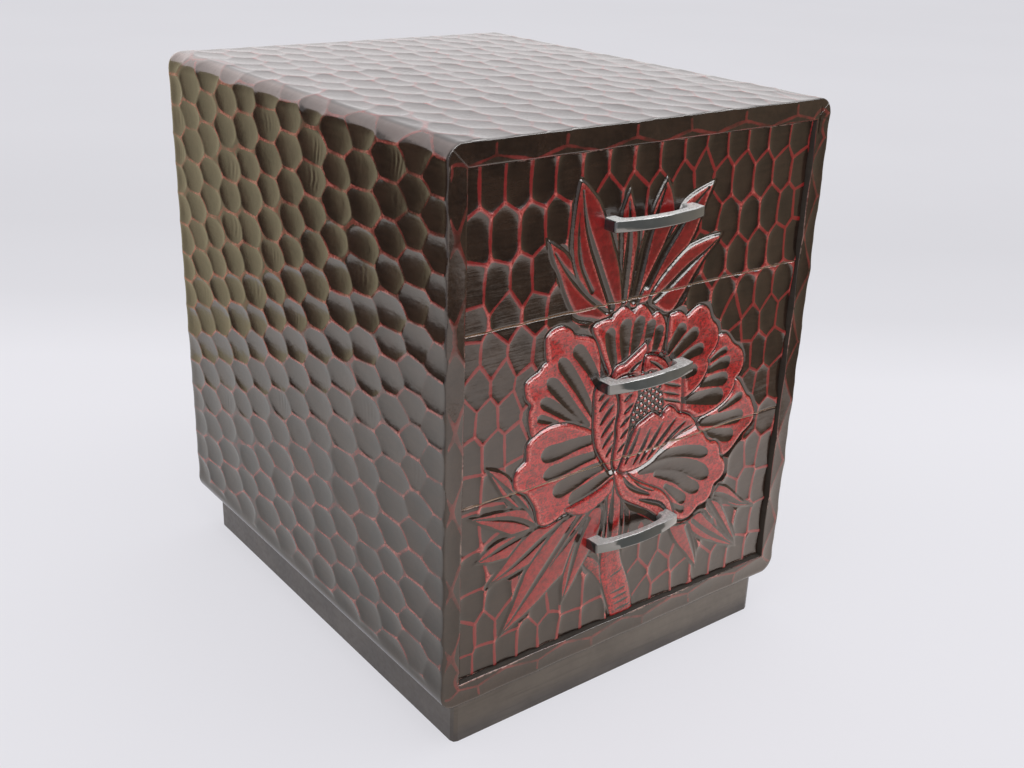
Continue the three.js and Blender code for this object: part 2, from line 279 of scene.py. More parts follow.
def plate(points, lvl=-0.15, sink=0.5, cham_w=1.5, cham_d=0.85, drop=1.45, slope=0.30, red=1.0, flutes=(), hatch=(), veins=(), back=1.2, fade=None, rim=0.0, mottle=1.0, ring=1.0, vdeep=1.0):
    """One petal or leaf: an outline raised above what lies behind it, with its own cuts."""
    P = catmull(points, True, 5) + SHIFT
    win = window(P, 7)
    x, y = X[win], Y[win]
    sd = poly_sd(P, x, y)
    vd = np.maximum(-sd, 0)
    h, r, m = H[win], R[win], M[win]
    sl = np.where(m > 0.5, back, slope)
    floor_ = lvl - cham_d - drop + sl * vd
    low = floor_ < h
    near = smooth(0.2, 1.0, vd) * np.where(m > 0.5, 1, smooth(0.1, 1.2, h - floor_) * 0 + 1)
    h2 = np.where(low & (sd < 0), floor_, h)
    rim_line = np.exp(-((floor_ - h) / 0.22) ** 2) * (sd < 0) * (vd > 1.3) * (m < 0.5) * (0.62 + 0.3 * value_noise(x, y, 5.0, 19))
    r2 = np.where(low & (sd < 0), r * np.where(m > 0.5, near, 0.0), r * np.where(sd < 0, smooth(0.0, 0.8, vd), 1))
    tilt_in = lvl - sink * (1 - np.exp(-np.maximum(sd, 0) / 9.0)) - cham_d * (1 - np.clip(sd / cham_w, 0, 1)) ** 1.15
    w = smooth(-0.42, 0.42, sd)
    H[win] = h2 * (1 - w) + tilt_in * w
    if fade:
        red = red * (1 - 0.30 * smooth(fade[0], fade[1], sd + 2.5 * value_noise(x, y, 5.0, 17)))
    r2 = np.maximum(r2, rim_line * ring)
    if rim:
        red = red * smooth(0.45 * rim, 1.25 * rim, sd + 0.25 * value_noise(x, y, 4.0, 18))
    R[win] = r2 * (1 - w) + red * w
    MOT[win] = MOT[win] * (1 - w) + mottle * (0.72 + 0.28 * np.exp(-np.maximum(sd, 0) / 5.0)) * w
    M[win] = np.maximum(m * (1 - w), w)
    inside = np.zeros_like(H)
    inside[win] = smooth(0.0, 0.5, sd)
    for f in flutes:
        groove(f[0], f[1] * 1.38, f[2] if len(f) > 2 else 0.47, "flute", mask=inside, lean=f[3] if len(f) > 3 else 0.15)
    for f in hatch:
        groove(f[0], f[1], f[2] if len(f) > 2 else 0.7, "hatch", mask=inside)
    for f in veins:
        groove(f[0], f[1] * 1.45, (f[2] if len(f) > 2 else 0.9) * vdeep, "vein", mask=inside, wide=0.25 * vdeep)


# stem and its branch
plate([(76, 194), (83, 197), (88, 202.5), (91.5, 209), (95, 218), (96, 228), (92.5, 220), (88.5, 212), (84.2, 206), (79, 200)],
      lvl=-0.8, sink=0.3, cham_w=2.2, cham_d=0.4, drop=0.4, slope=0.4, red=0.55)
plate([(92.5, 158), (96, 163), (99, 170), (101, 178), (101.5, 188), (99.8, 197), (101.5, 205), (104.8, 213), (108.3, 223), (111.5, 236, 1),
       (97.5, 236, 1), (94.5, 226), (91.5, 217), (89, 208), (88.5, 198), (90, 188), (90.5, 178), (90.3, 168)],
      lvl=-0.5, sink=0.15, cham_w=2.8, cham_d=0.55, drop=0.6, slope=0.45, red=0.66,
      hatch=[([(96, 220.6), (105, 219.6)], 0.7, 0.3), ([(97, 223.8), (106.2, 223)], 0.7, 0.3), ([(98, 227.3), (107.5, 226.4)], 0.7, 0.3),
             ([(99, 230.8), (108.5, 230.2)], 0.7, 0.3), ([(94.6, 211), (102, 209)], 0.6, 0.2)],
      veins=[([(93, 162), (92.9, 176), (92.6, 192)], 0.9, 0.8), ([(97, 166), (99.3, 176), (99.3, 192)], 0.9, 0.8)])

# leaves above the flower, under the top handle
LEAF = dict(lvl=-0.3, sink=0.15, cham_w=2.0, cham_d=0.42, drop=0.72, slope=0.45, rim=1.15, mottle=0.25, vdeep=0.8)
LOW = dict(lvl=-0.62, sink=0.1, cham_w=2.4, cham_d=0.34, drop=0.34, slope=0.42, rim=1.0, mottle=0.5, vdeep=0.42)   # the flatter leaves below
plate([(90.7, 26.5, 1), (92.2, 31), (95, 38), (97, 48), (96, 60), (93.5, 77), (88, 78), (88, 60), (87.3, 48), (86.4, 38), (88, 32)],
      **LEAF, veins=[([(90.3, 33), (91.7, 45), (91.4, 60), (90.5, 75)], 1.5, 1.0)])
plate([(111, 24.5, 1), (114.5, 31), (116.8, 38), (117.2, 45), (112.5, 55), (106, 66), (101.5, 78), (94, 78), (97.5, 62), (101, 50), (103.3, 39),
       (106.5, 32)], **LEAF, veins=[([(110.3, 29), (106, 41), (102.3, 52), (99.2, 66), (97, 76)], 1.5, 1.05)])
plate([(140.3, 30, 1), (136.6, 36.5), (133.6, 44), (130.4, 51.5), (126.8, 57), (120, 63.5), (112, 70), (105, 78), (99, 78), (105.5, 66),
       (112, 55), (117.3, 44.5), (121.8, 37), (130, 32.8)], **{**LEAF, "cham_w": 1.3, "cham_d": 0.8}, veins=[([(136, 32.5), (127, 40), (120, 48.2), (112, 58.6), (104.3, 71)], 1.5, 1.05)])
plate([(147.8, 54.3, 1), (144, 58.5), (138, 64), (132, 71), (126, 79), (119, 86), (110, 82), (106, 77), (112, 68.8), (121, 61.2), (127, 57.4),
       (134, 55.5), (141, 54.5)], **{**LEAF, "cham_w": 1.3, "cham_d": 0.8}, veins=[([(144, 56.6), (136, 61.8), (126, 67.8), (117, 73.8), (109, 78.5)], 1.2, 1.0)])
plate([(48.5, 42.5, 1), (53, 45), (58, 48.6), (63, 54), (70, 62), (78, 70), (86, 78), (80, 82), (72, 80), (64.5, 77), (58.7, 67.5), (54.5, 57.5),
       (51, 51)], **LEAF, veins=[([(52.5, 48.5), (58, 56), (65.5, 64), (73, 71), (82, 78)], 1.25, 1.0)])
plate([(63.5, 20.5, 1), (66.3, 21.8), (70, 25.2), (75, 31), (79.2, 39), (83, 48), (86.6, 57), (89, 66), (90, 78), (83.5, 79), (76, 73.5), (67.6, 65.5),
       (62.3, 55.5), (60.6, 45), (61.4, 31)], **LEAF, veins=[([(65.2, 25), (67.6, 37), (71, 47), (75, 56), (79.5, 66), (84.5, 77)], 1.35, 1.1),
                                                             ([(64, 34), (64.3, 45), (66.5, 56), (73, 68)], 0.8, 0.4)])

# leaves below on the left
plate([(21.5, 134.5, 1), (25.5, 135.8), (30, 138.3), (34, 142), (37, 147), (41, 152), (45, 158), (48, 165), (50, 172, 1), (45, 166.5), (40, 160.5),
       (35, 155.3), (30, 149.5), (25.5, 142)], **LOW, veins=[([(24, 137.3), (29, 143), (34, 149), (40, 156), (46.5, 165)], 1.0, 0.9)])
plate([(13, 155.3, 1), (20, 155.6), (30, 156.6), (38, 157.6), (44, 160.4), (48, 166), (52, 172, 1), (42, 171.6), (36, 170.6), (31, 167.2),
       (25, 163.4), (19.5, 160)], **LOW, veins=[([(16, 156.6), (25, 158.8), (35, 161.8), (43, 165.8), (49, 170.5)], 1.0, 0.85)])
plate([(16.2, 178, 1), (21, 174.4), (26, 171.4), (32, 170.2), (40, 170), (48, 170.5), (52, 172, 1), (44, 177), (37, 180.8), (31, 180.6),
       (24, 179.8)], **LOW, veins=[([(18.5, 177.7), (26, 175.7), (35, 173.4), (46, 171.4)], 1.0, 0.85)])
plate([(23.5, 191, 1), (28, 186.3), (33, 182), (38, 177.3), (43, 173.3), (49, 171), (57, 170.6), (68, 170, 1), (62, 178), (55, 183.5),
       (47.5, 187.6), (40, 189.3), (33, 190.5)], **LOW, veins=[([(26, 190), (36, 186.3), (45, 181.8), (53, 177.4), (65, 172.2)], 1.05, 0.95)])
plate([(30.5, 220, 1), (34, 213), (38, 204.3), (41, 197), (44.5, 190.6), (48.5, 185.5), (55, 179), (62, 173.5), (70, 170.5), (80, 171), (81, 177),
       (78.5, 184.5), (74.5, 191.5), (67.5, 198.8), (63, 201.4), (58, 204.8), (52, 209.2), (45, 213.2), (38, 216.2)], **LOW,
      veins=[([(32.5, 218), (41, 209), (48, 201), (55, 193), (62, 185), (70, 176), (74, 172)], 1.15, 1.0),
             ([(58, 193), (65, 186), (73, 178.4), (79, 173)], 1.0, 0.85)])
plate([(65.6, 215.5, 1), (64.9, 207), (66, 199.5), (69, 191), (72.6, 183), (77, 175.5), (82, 171), (87, 172), (87, 180), (84.2, 188), (79.6, 194.8),
       (75.5, 201.2), (71, 208.5)], **LOW, veins=[([(66.7, 212), (69.2, 203), (71.4, 194), (74.2, 185), (79, 176)], 1.15, 1.0)])

# leaves below on the right
plate([(163, 182.5, 1), (168, 184.6), (173, 188.6), (178, 193.3), (183, 197.8), (190.5, 203, 1), (184, 201.5), (178, 199.6), (172, 196.4),
       (166.5, 192), (160, 188)], **LOW, veins=[([(186, 200.6), (180, 198.2), (174, 194.6), (167, 190.2), (160, 187.4)], 1.1, 0.9)])
plate([(155, 188, 1), (161.5, 190.6), (166.2, 194.6), (170.3, 201), (174.2, 208), (178, 215), (180.5, 221.5, 1), (176.5, 217.4), (171.5, 211.6),
       (166.5, 205.6), (162, 199.2), (157, 193)], **LOW, veins=[([(178, 218.2), (172.5, 211.2), (167, 204), (162, 197), (157, 190)], 0.9, 0.9)])
plate([(141, 198, 1), (147, 195.4), (152.5, 194.6), (158, 200.2), (164, 206.3), (170, 212), (176, 217.8), (181.5, 223.5, 1), (175.5, 221.4),
       (169.5, 218.8), (163, 215), (156, 211.2), (148.5, 205.6)], **LOW, veins=[([(179, 222), (171, 216.4), (163, 211), (155, 205), (147, 198)], 0.9, 0.7)])
plate([(130, 195, 1), (137, 196.5), (144, 198.4), (147.7, 206), (150.5, 213), (152.3, 219), (152.7, 226.5, 1), (149.3, 222.2), (144.8, 216.8),
       (139.3, 210.2), (134, 203.5)], **LOW, veins=[([(152.2, 223.5), (149.9, 216), (147, 208.8), (143, 200)], 1.0, 0.95)])

# outer petals, the farthest first
PET = dict(lvl=-0.08, sink=1.05, cham_w=1.15, cham_d=0.86, drop=0.95, slope=0.45, fade=(5.0, 18.0))
plate([(143, 146), (150, 141.5), (158, 139.5), (163, 136.5), (166.3, 130), (167.6, 128.4), (170, 130), (173, 134), (176, 138.2), (178.7, 140.3),
       (181, 144), (182.9, 148), (183.1, 151.2), (181.8, 154.3), (178.6, 156.8), (175.6, 158.6), (172.8, 161.4), (169, 165), (165, 167), (162, 166),
       (156, 161), (149, 154)], **{**PET, "lvl": -0.3},
      flutes=[([(172.6, 137), (166, 139.2), (157.5, 141.8)], 1.9), ([(175.2, 148.7), (165, 147.6), (152, 145.8), (140, 143.5)], 2.9),
              ([(169.4, 157.8), (160, 155.3), (149, 150.6)], 2.7)])
plate([(146, 112), (150.5, 106), (153, 103.2), (157, 103.4), (160, 106), (163, 109.4), (167, 111.9), (169.8, 115), (171.1, 119), (170.7, 123),
       (168.6, 126.2), (166.5, 127.7), (166.4, 130.5), (164.8, 134), (161.5, 137.4), (157, 139.6), (152, 141), (146, 142), (138, 141.2), (130, 138),
       (128, 132), (140, 126), (146, 119)], **{**PET, "lvl": -0.22},
      flutes=[([(158.8, 111), (153, 112.4), (146.5, 115.2)], 1.5), ([(161.6, 117.8), (154, 117.9), (146, 119.4)], 2.4),
              ([(161, 126.4), (152, 125.2), (140, 124.5)], 2.6), ([(159, 134.6), (150, 133.2), (140, 131.4), (130, 129.5)], 3.2)])
plate([(119.5, 88.4), (121.5, 86.8), (125.5, 86.7), (128, 88), (130, 89.6), (132.2, 88.5), (134.8, 86.9), (138, 86), (141.3, 86.9), (144, 89.3),
       (145.6, 92.6), (147.2, 95.2), (149.5, 97.2), (151.4, 100.5), (151.9, 104.6), (150.6, 108.4), (148.2, 111), (146.2, 113.3), (147, 116),
       (146.3, 119.5), (144, 123), (141, 126), (137.5, 128), (133, 129.5), (129.5, 127), (122, 118), (118.5, 110), (119.2, 100)], **PET,
      flutes=[([(129, 93), (124.4, 98), (118, 105.5)], 2.5), ([(138, 97.4), (130.5, 102), (120.5, 108.6)], 2.8),
              ([(142.6, 107), (136, 107.9), (127, 111)], 2.3), ([(139.8, 116.4), (134, 117.6), (126, 119)], 2.2)])
plate([(66, 85.6), (64, 83.4), (61, 81.4), (58, 80.3), (54, 80.9), (51, 82.9), (50.1, 85), (50.3, 88.5), (50.7, 92), (51.2, 94.4), (49.3, 95.6),
       (47.2, 98), (44.2, 99.2), (41.4, 100.7), (40.2, 102.6), (40.5, 105.5), (41.6, 109), (43.9, 111.8), (43, 114.5), (42.8, 118), (43.4, 122),
       (44.7, 126), (47, 129.5), (60, 133), (76, 136), (80, 130), (80, 118), (80.8, 108), (80.3, 100), (78.6, 94), (75, 88.7)], **PET,
      flutes=[([(47.2, 118.2), (51, 119.9), (58, 123.2)], 1.5), ([(48.4, 111), (54, 114.4), (61, 119.6), (70, 126.5)], 2.2),
              ([(51.8, 102), (58, 108.6), (65, 117), (75, 128.5)], 2.35), ([(57.5, 94.3), (64, 102.5), (70.5, 112), (78, 125)], 2.4),
              ([(65.4, 90.2), (71.5, 97.5), (76.2, 104.5), (80, 112)], 2.5)])
plate([(75.3, 85), (77.2, 83), (80.2, 82), (83.5, 82), (85.3, 82.2), (87.3, 80), (90.5, 78.2), (93.5, 78.6), (95.8, 80.5), (97.7, 81),
       (99.8, 79.2), (102.5, 79), (105.2, 80.9), (107.3, 83.3), (109.2, 85.2), (111.8, 84.2), (114.2, 85.6), (116.4, 88.8), (117.5, 93), (117, 98.5),
       (115.5, 104), (113, 110), (105, 113), (95, 113), (88, 110), (84, 103.2), (81, 97), (78.2, 91)], **PET,
      flutes=[([(84.4, 86), (85.3, 94), (89, 107)], 2.4), ([(93.4, 83.6), (93.3, 92), (94.3, 104)], 2.6), ([(101.4, 83.8), (100.6, 92), (98.8, 103)], 2.5),
              ([(108.4, 86.6), (107.6, 93), (106, 102)], 2.1), ([(113.6, 90.3), (112.8, 96), (110.5, 104.5)], 1.9)])
plate([(43.2, 129.2), (46, 126.8), (50.5, 124.8), (56, 123.9), (61, 124.3), (66, 125.8), (70.5, 127.9), (76, 130.8), (79, 134), (82, 142), (86, 149.5),
       (91, 153.5), (93, 157), (91, 160.6), (86, 162), (80, 164), (74, 166), (69, 168.3), (66, 168.6), (63, 169), (60, 170.2), (56, 171.2), (52.3, 170.7),
       (50.2, 168.8), (49.2, 165), (48.5, 161.5), (47, 158.3), (45, 155.2), (42.8, 152.4), (39.5, 150.7), (36.9, 148.8), (36, 146), (36.3, 142.6),
       (37.7, 140), (40.4, 138.1), (42.2, 136.9), (42.5, 134), (42.3, 131.3)], **PET,
      flutes=[([(50, 136.6), (60, 136.9), (70, 136), (82, 136)], 3.15), ([(51.8, 146.8), (62, 146), (72, 144.6), (84, 143.6)], 2.7),
              ([(57.6, 156.4), (68, 154.5), (78, 151.6), (89.5, 150)], 3.2), ([(66.6, 163.4), (76, 160.5), (84, 157.5), (92, 154.8)], 2.9)])
plate([(65, 166.5), (70, 165.3), (75, 164.3), (81, 162.9), (86.5, 161), (91.2, 159), (92.6, 161), (91.7, 165), (87.5, 168.3), (82, 170.9), (77, 172),
       (72, 171.3), (67.5, 169)], lvl=-0.25, sink=0.1, cham_w=2.0, cham_d=0.4, drop=0.8, slope=0.4)
plate([(95, 155.5), (104, 157.6), (112, 156.7), (120, 153.8), (126, 150.8), (131, 148.6), (136, 147.2), (140.5, 145.8), (143.2, 146.5), (145, 149),
       (148.2, 151.2), (150.8, 154.8), (154, 157), (157.3, 158), (159.9, 160.5), (160.9, 164), (162, 167), (164.4, 169.7), (165.9, 173.2),
       (165.5, 176.7), (163.3, 179.4), (160, 181), (158.7, 182.7), (158.1, 185.9), (156, 188.7), (153.2, 190.1), (150, 190.3), (148, 191.7),
       (145.4, 193.8), (142.2, 194.8), (138.8, 194.5), (135, 193), (131, 190.8), (127, 186.5), (120, 180), (110, 172), (100, 164)], **PET,
      flutes=[([(152.6, 163.2), (146, 160.4), (136, 157.4), (122, 155.6), (108, 158.2)], 2.5), ([(154.4, 176), (147, 170.6), (138, 165.8), (125, 161.6), (109, 160)], 3.2),
              ([(149, 181.6), (141, 176.6), (133, 170.6), (119, 164.5)], 2.6), ([(140, 185.2), (134.5, 180), (126, 173)], 2.1),
              ([(139.8, 189.7), (135, 187), (130.5, 183.5)], 1.4)])
# the twisted fold at the foot of the big petal
plate([(93.3, 157), (98.5, 156.8), (104, 162.3), (110, 166.4), (117, 170.4), (123.5, 174.4), (128.7, 180), (131.4, 185.5), (133.5, 191), (128, 190.6),
       (123.3, 188.3), (117.3, 183.3), (110, 178.5), (103.3, 174.5), (98.3, 170.5), (95.1, 165)], lvl=-0.05, sink=0.1, cham_w=1.1, cham_d=0.8, drop=1.0,
      slope=0.4, hatch=[([(97.8, 159.5), (102, 165.3), (108, 169.8), (116, 174)], 1.5, 1.1), ([(108.5, 174.4), (117, 178.2), (124, 182), (129, 188)], 1.5, 1.1),
                        ([(104.5, 163.8), (111, 168.8), (118.5, 172.8)], 0.7, 0.5)])

# the bud
BUD = dict(lvl=0.0, sink=0.1, cham_w=1.25, cham_d=0.9, drop=1.6, slope=0.5, back=0.9)
plate([(113, 115), (128.5, 116), (131, 124), (131.6, 131), (131, 138), (124, 135), (120.5, 134), (118, 126)], **{**BUD, "lvl": -0.35},
      hatch=[([(119, 119.2), (130, 123)], 0.95), ([(119.6, 127), (130.6, 131)], 0.95), ([(118.8, 123.3), (129, 127)], 0.7)])
plate([(89.3, 106.2), (95, 104.4), (100.5, 101.4), (107.2, 97.6, 1), (107.2, 104), (106.4, 112), (98, 116), (88, 116)], **{**BUD, "lvl": -0.2},
      hatch=[([(93, 113), (99.5, 107.6), (105, 104.4)], 1.3, 0.8)])
plate([(107.3, 103.8, 1), (110, 104), (115, 105.8), (120.2, 109.6), (121.5, 115), (108, 117), (106.6, 110)], **{**BUD, "lvl": -0.25},
      hatch=[([(108.5, 106), (113, 108.5), (118, 112.5)], 0.9, 0.6)])
# stamens: small knobs left between crossing cuts
ST = catmull([(103.5, 112), (115.5, 112), (118, 121), (120.8, 133.5), (115, 136), (108, 138), (102.5, 140), (100.8, 133), (103.3, 124)], True, 5) + SHIFT
win = window(ST, 3)
sd = poly_sd(ST, X[win], Y[win])
ca, sa = math.cos(math.radians(52)), math.sin(math.radians(52))
pu = (X[win] * ca + Y[win] * sa) / 3.0
pv = (-X[win] * ca + Y[win] * sa) / 2.75
knob = np.abs(np.sin(math.pi * pu)) ** 0.6 * np.abs(np.sin(math.pi * pv)) ** 0.6
w = np.clip(0.5 + sd / 0.5, 0, 1)
H[win] = H[win] * (1 - w) + w * (-1.9 + 1.35 * knob)
R[win] = R[win] * (1 - w) + w * smooth(0.55, 0.9, knob) * 0.8
M[win] = np.maximum(M[win] * (1 - w), w)
plate([(79.5, 112), (79, 125), (79.4, 133), (81, 140.4), (84, 146.4), (87.5, 151.2), (90.5, 154.5), (91.4, 148.5), (92.2, 142), (91.6, 136),
       (91.7, 130), (93.2, 126), (92.4, 122), (90.4, 117.5), (88.5, 112)], **BUD,
      hatch=[([(83.4, 115), (80, 118.5)], 0.9), ([(86.3, 117.8), (80.5, 123.6)], 1.0), ([(89.3, 121.5), (81.4, 130.2)], 1.05), ([(90.8, 127.4), (82.5, 136.3)], 1.05),
             ([(90.4, 134.1), (83.7, 142)], 1.05), ([(90.9, 140.6), (86, 147)], 0.95)])
plate([(93.6, 126), (92.6, 133), (92.9, 140), (92.1, 146), (92, 152), (94.3, 155.6), (96.2, 151), (97.7, 146), (99, 141), (99.9, 135.5), (100.3, 130),
       (101.9, 126), (103.8, 122), (103.3, 117), (101, 112), (91.5, 112), (93, 119)], **BUD,
      hatch=[([(101.5, 114.2), (95, 117.4)], 0.9), ([(99.9, 119.1), (94.7, 122.4)], 0.95), ([(101, 124), (95.1, 128.5)], 0.95), ([(100, 129.3), (93.5, 134.4)], 0.95),
             ([(99.4, 135.2), (94, 140)], 0.95), ([(98.2, 141.8), (93, 146.4)], 0.9)])
plate([(96, 156), (98, 151), (100.6, 146), (102.8, 140.5), (104.8, 136.6), (109.2, 134.4), (114, 132.7), (117, 134.1), (119.8, 135.7), (121.2, 133.2),
       (124, 131.9), (127.5, 133.7), (130.5, 136.7), (134, 137.8), (138, 139.9), (141.2, 143), (142.3, 145.8), (136.5, 147.2), (131, 148.4),
       (125.5, 150.4), (120, 153), (114, 156.2), (108, 157.9), (102.5, 158.2), (98, 157.6)], **BUD,
      hatch=[([(106.2, 137), (103, 145), (98.2, 154)], 1.15, 0.85), ([(112.8, 138.8), (109, 147), (103, 155.4)], 1.2, 0.85), ([(120.3, 137.7), (114.8, 146), (106.8, 155.6)], 1.2, 0.85),
             ([(128.6, 137.8), (121, 145.6), (111, 155.6)], 1.2, 0.85), ([(135.2, 141.1), (127, 146.3), (116.5, 154.3)], 1.15, 0.85),
             ([(139.8, 144.2), (131.5, 146.8), (123, 151)], 0.9, 0.6)])

# the hand: slow unevenness, then a light rounding of every crest
H += 0.035 * value_noise(X, Y, 7.0, 31) + 0.010 * value_noise(X, Y, 2.2, 32)
H = np.minimum(blur(H, 0.28 / STEP), -0.06)
R = blur(R, 0.12 / STEP)
# relief curvature for the material: below zero in the hollows, which get painted shade, above zero on the crests
CAV = np.clip((H - blur(H, 1.3 / STEP)) / 0.30, -1, 1)


# ---------------------------------------------------------------- the gouged skin round the case
# s runs up the left side from z = 31, over the top and down the right side; t is mm from the back edge.
S_TOP0 = 230.0 + ARC
S_RIGHT0 = S_TOP0 + 194.0 + ARC
S_END = S_RIGHT0 + 230.0
A_S, A_T = 7.45, 10.9           # half height and half length of a cell on the sides
COLUMNS = [(-14, 12, 15.2), (5, 4, 15.2), (25, 13, 15.3), (45, 21, 15.35), (66, 14, 15.4), (86, 25, 15.1), (106.5, 17.8, 15.0), (126, 12, 14.85),
           (147, 20, 14.8), (168, 11, 15.0), (189, 7.3, 14.7), (209, 15, 14.7), (227, 8.7, 14.6), (242, 13, 14.5), (258, 6, 14.5)]
TOP_ROWS = [(-18, 22), (3, 22.4), (22, 15.3), (43, 21.5), (64, 15.8), (83, 24), (105.5, 16), (125.5, 23.2), (147, 16.6), (166, 24), (185, 15.2),
            (206, 23), (224, 15.6), (240.5, 22.8), (258, 15.5)]
g = np.random.default_rng(3)
SKIN = []
def run_over(cx):
    """How far above the side, in mm of girth, the side's cells go on before the first cell of the top."""
    row = min(TOP_ROWS, key=lambda r: abs(r[0] - cx))
    return ARC + (row[1] - 8) - 10.0


for (cx, y0, pitch) in COLUMNS:
    y = y0
    while y - pitch > 8 - run_over(cx):
        y -= pitch
    while y < 258:
        SKIN.append((238.0 - y + g.normal(0, 0.7), cx + g.normal(0, 1.3), A_S + g.normal(0, 0.2), A_T + g.normal(0, 0.4)))
        y += pitch
for (cx, y0, pitch) in COLUMNS:
    y = y0 + 3.1
    while y > -6:
        y -= pitch
    while y < 258:
        SKIN.append((S_RIGHT0 - 8 + y + g.normal(0, 0.9), cx + 4 + g.normal(0, 1.6), A_S + g.normal(0, 0.2), A_T + g.normal(0, 0.4)))
        y += pitch
for k, (cy, x0) in enumerate(TOP_ROWS):
    x = x0
    while x < 201:
        SKIN.append((S_TOP0 + (x - 8) + g.normal(0, 0.8), cy + (x - 100) * -0.012 + g.normal(0, 1.3), 7.1 + g.normal(0, 0.2), 11.4 + g.normal(0, 0.4)))
        x += 14.35

SG = np.arange(-30.0, S_END + 30.0, 0.62)
TG = np.arange(-4.0, 252.1, 0.62)
SX, TX = np.meshgrid(SG, TG, indexing="ij")
KH, k_ridge, k_f1 = cells(SX, TX, SKIN, base=-0.86, lift=0.56, seed=5, tilt=0.008, taper=0.16)
KH += 0.10 * np.clip(k_f1, 0.0, 1.5) ** 3 - 0.07
KR = ridge_red(k_ridge, k_f1, SX, TX, 51, width=0.78, node=0.36)
# the hand rubs the crests that run level more than the upright ones
level, upright = (blur(np.abs(q), 1.6) for q in np.gradient(np.minimum(k_ridge, 6.0)))
KR *= np.clip(0.42 + 0.85 * smooth(0.35, 0.62, level / (level + upright + 1e-6)), 0, 1)
# the strokes over the top are lighter
on_top = smooth(S_TOP0 - 9, S_TOP0 + 3, SX) * smooth(S_RIGHT0 + 2, S_RIGHT0 - 9, SX)
KH = KH + on_top * 0.42 * (-0.40 - KH)
# and are smoothed on the upper roundings
over_ = smooth(231, 234.5, SX) * smooth(S_TOP0 + 2, S_TOP0 - 2, SX) + smooth(S_RIGHT0 - ARC - 2, S_RIGHT0 - ARC + 2, SX) * smooth(S_RIGHT0 - 1, S_RIGHT0 - 4.5, SX)
KH = KH + over_ * 0.55 * (-0.36 - KH)
# chatter left by the gouge in some cells: low ribs across the stroke, bunched
RIBS = [(238 - 33, 143), (238 - 15, 208), (238 - 30, 8), (238 - 52, 8), (238 - 77, 68), (238 - 98, 87), (238 - 18, 106), (238 - 77, 107), (238 - 28, 208),
        (238 - 118, 30), (238 - 100, 128), (238 - 15, 150), (238 - 45, 62), (238 - 128, 190), (238 - 150, 110), (238 - 175, 45), (238 - 140, 225), (238 - 62, 180),
        (S_TOP0 + 60, 110), (S_RIGHT0 + 60, 90), (S_RIGHT0 + 120, 150), (S_RIGHT0 + 30, 60), (S_TOP0 + 130, 190)]
for n_, (ks, kt) in enumerate(RIBS):
    cs, ct = min(((q[0], q[1]) for q in SKIN), key=lambda q: (q[0] - ks) ** 2 + (q[1] - kt) ** 2)
    k_, lean_, top_ = g.uniform(1.35, 2.3), g.uniform(-0.12, 0.30), g.uniform(0.025, 0.075)
    bell = np.exp(-((SX - cs - g.uniform(-1.5, 1.5)) / g.uniform(3.0, 5.4)) ** 4 - ((TX - ct - g.uniform(-1.0, 4.5)) / g.uniform(3.2, 5.5)) ** 2)
    KH += top_ * bell * np.sin((TX - ct) * k_ * (1 - 0.028 * (SX - cs)) + lean_ * (SX - cs) + 1.3 * value_noise(SX, TX, 5.0, 200 + n_))
KH += 0.03 * value_noise(SX, TX, 6.0, 61) + 0.008 * value_noise(SX, TX, 2.0, 62)
# the cells are shallower at the sawn back edge, and the arrises at the front and back are eased
flat = 0.62 * smooth(8.0, 0.5, TX)
KH = KH * (1 - flat) - 0.42 * flat
for edge in (0.0, 248.0):
    KH -= 0.45 * np.clip(1 - np.abs(TX - edge) / 1.5, 0, 1) ** 2
# the cells die out just above the lower rounding
for s_edge in (-1.0, S_END + 1.0):
    fade = smooth(7.0, 0.0, np.abs(SX - s_edge)) if s_edge < 0 else smooth(7.0, 0.0, np.abs(SX - s_edge))
    KH = KH * (1 - fade) - 0.45 * fade
    KR = KR * (1 - fade)
out_of = (SX < -1) | (SX > S_END + 1)
KH = np.where(out_of, -0.45 + 0.4 * smooth(0.0, 5.6, np.maximum(-1 - SX, SX - S_END - 1)), KH)
KR = np.where(out_of, 0.0, KR)
KH = np.minimum(blur(KH, 0.5), -0.05)
# the same curvature for the gouged skin: its hollows get painted shade
KC = np.clip((KH - blur(KH, 2.2)) / 0.16, -1, 1)


def sample(A, g0, gstep, h0, hstep, u, v):
    """Bilinear lookup of a grid at points."""
    fu = np.clip((u - g0) / gstep, 0, A.shape[0] - 1.001)
    fv = np.clip((v - h0) / hstep, 0, A.shape[1] - 1.001)
    i, j = fu.astype(int), fv.astype(int)
    a, b = fu - i, fv - j
    return (A[i, j] * (1 - a) * (1 - b) + A[i + 1, j] * a * (1 - b) + A[i, j + 1] * (1 - a) * b + A[i + 1, j + 1] * a * b)


def skin_at(A, s, t):
    return sample(A, SG[0], 0.62, TG[0], 0.62, s, t)


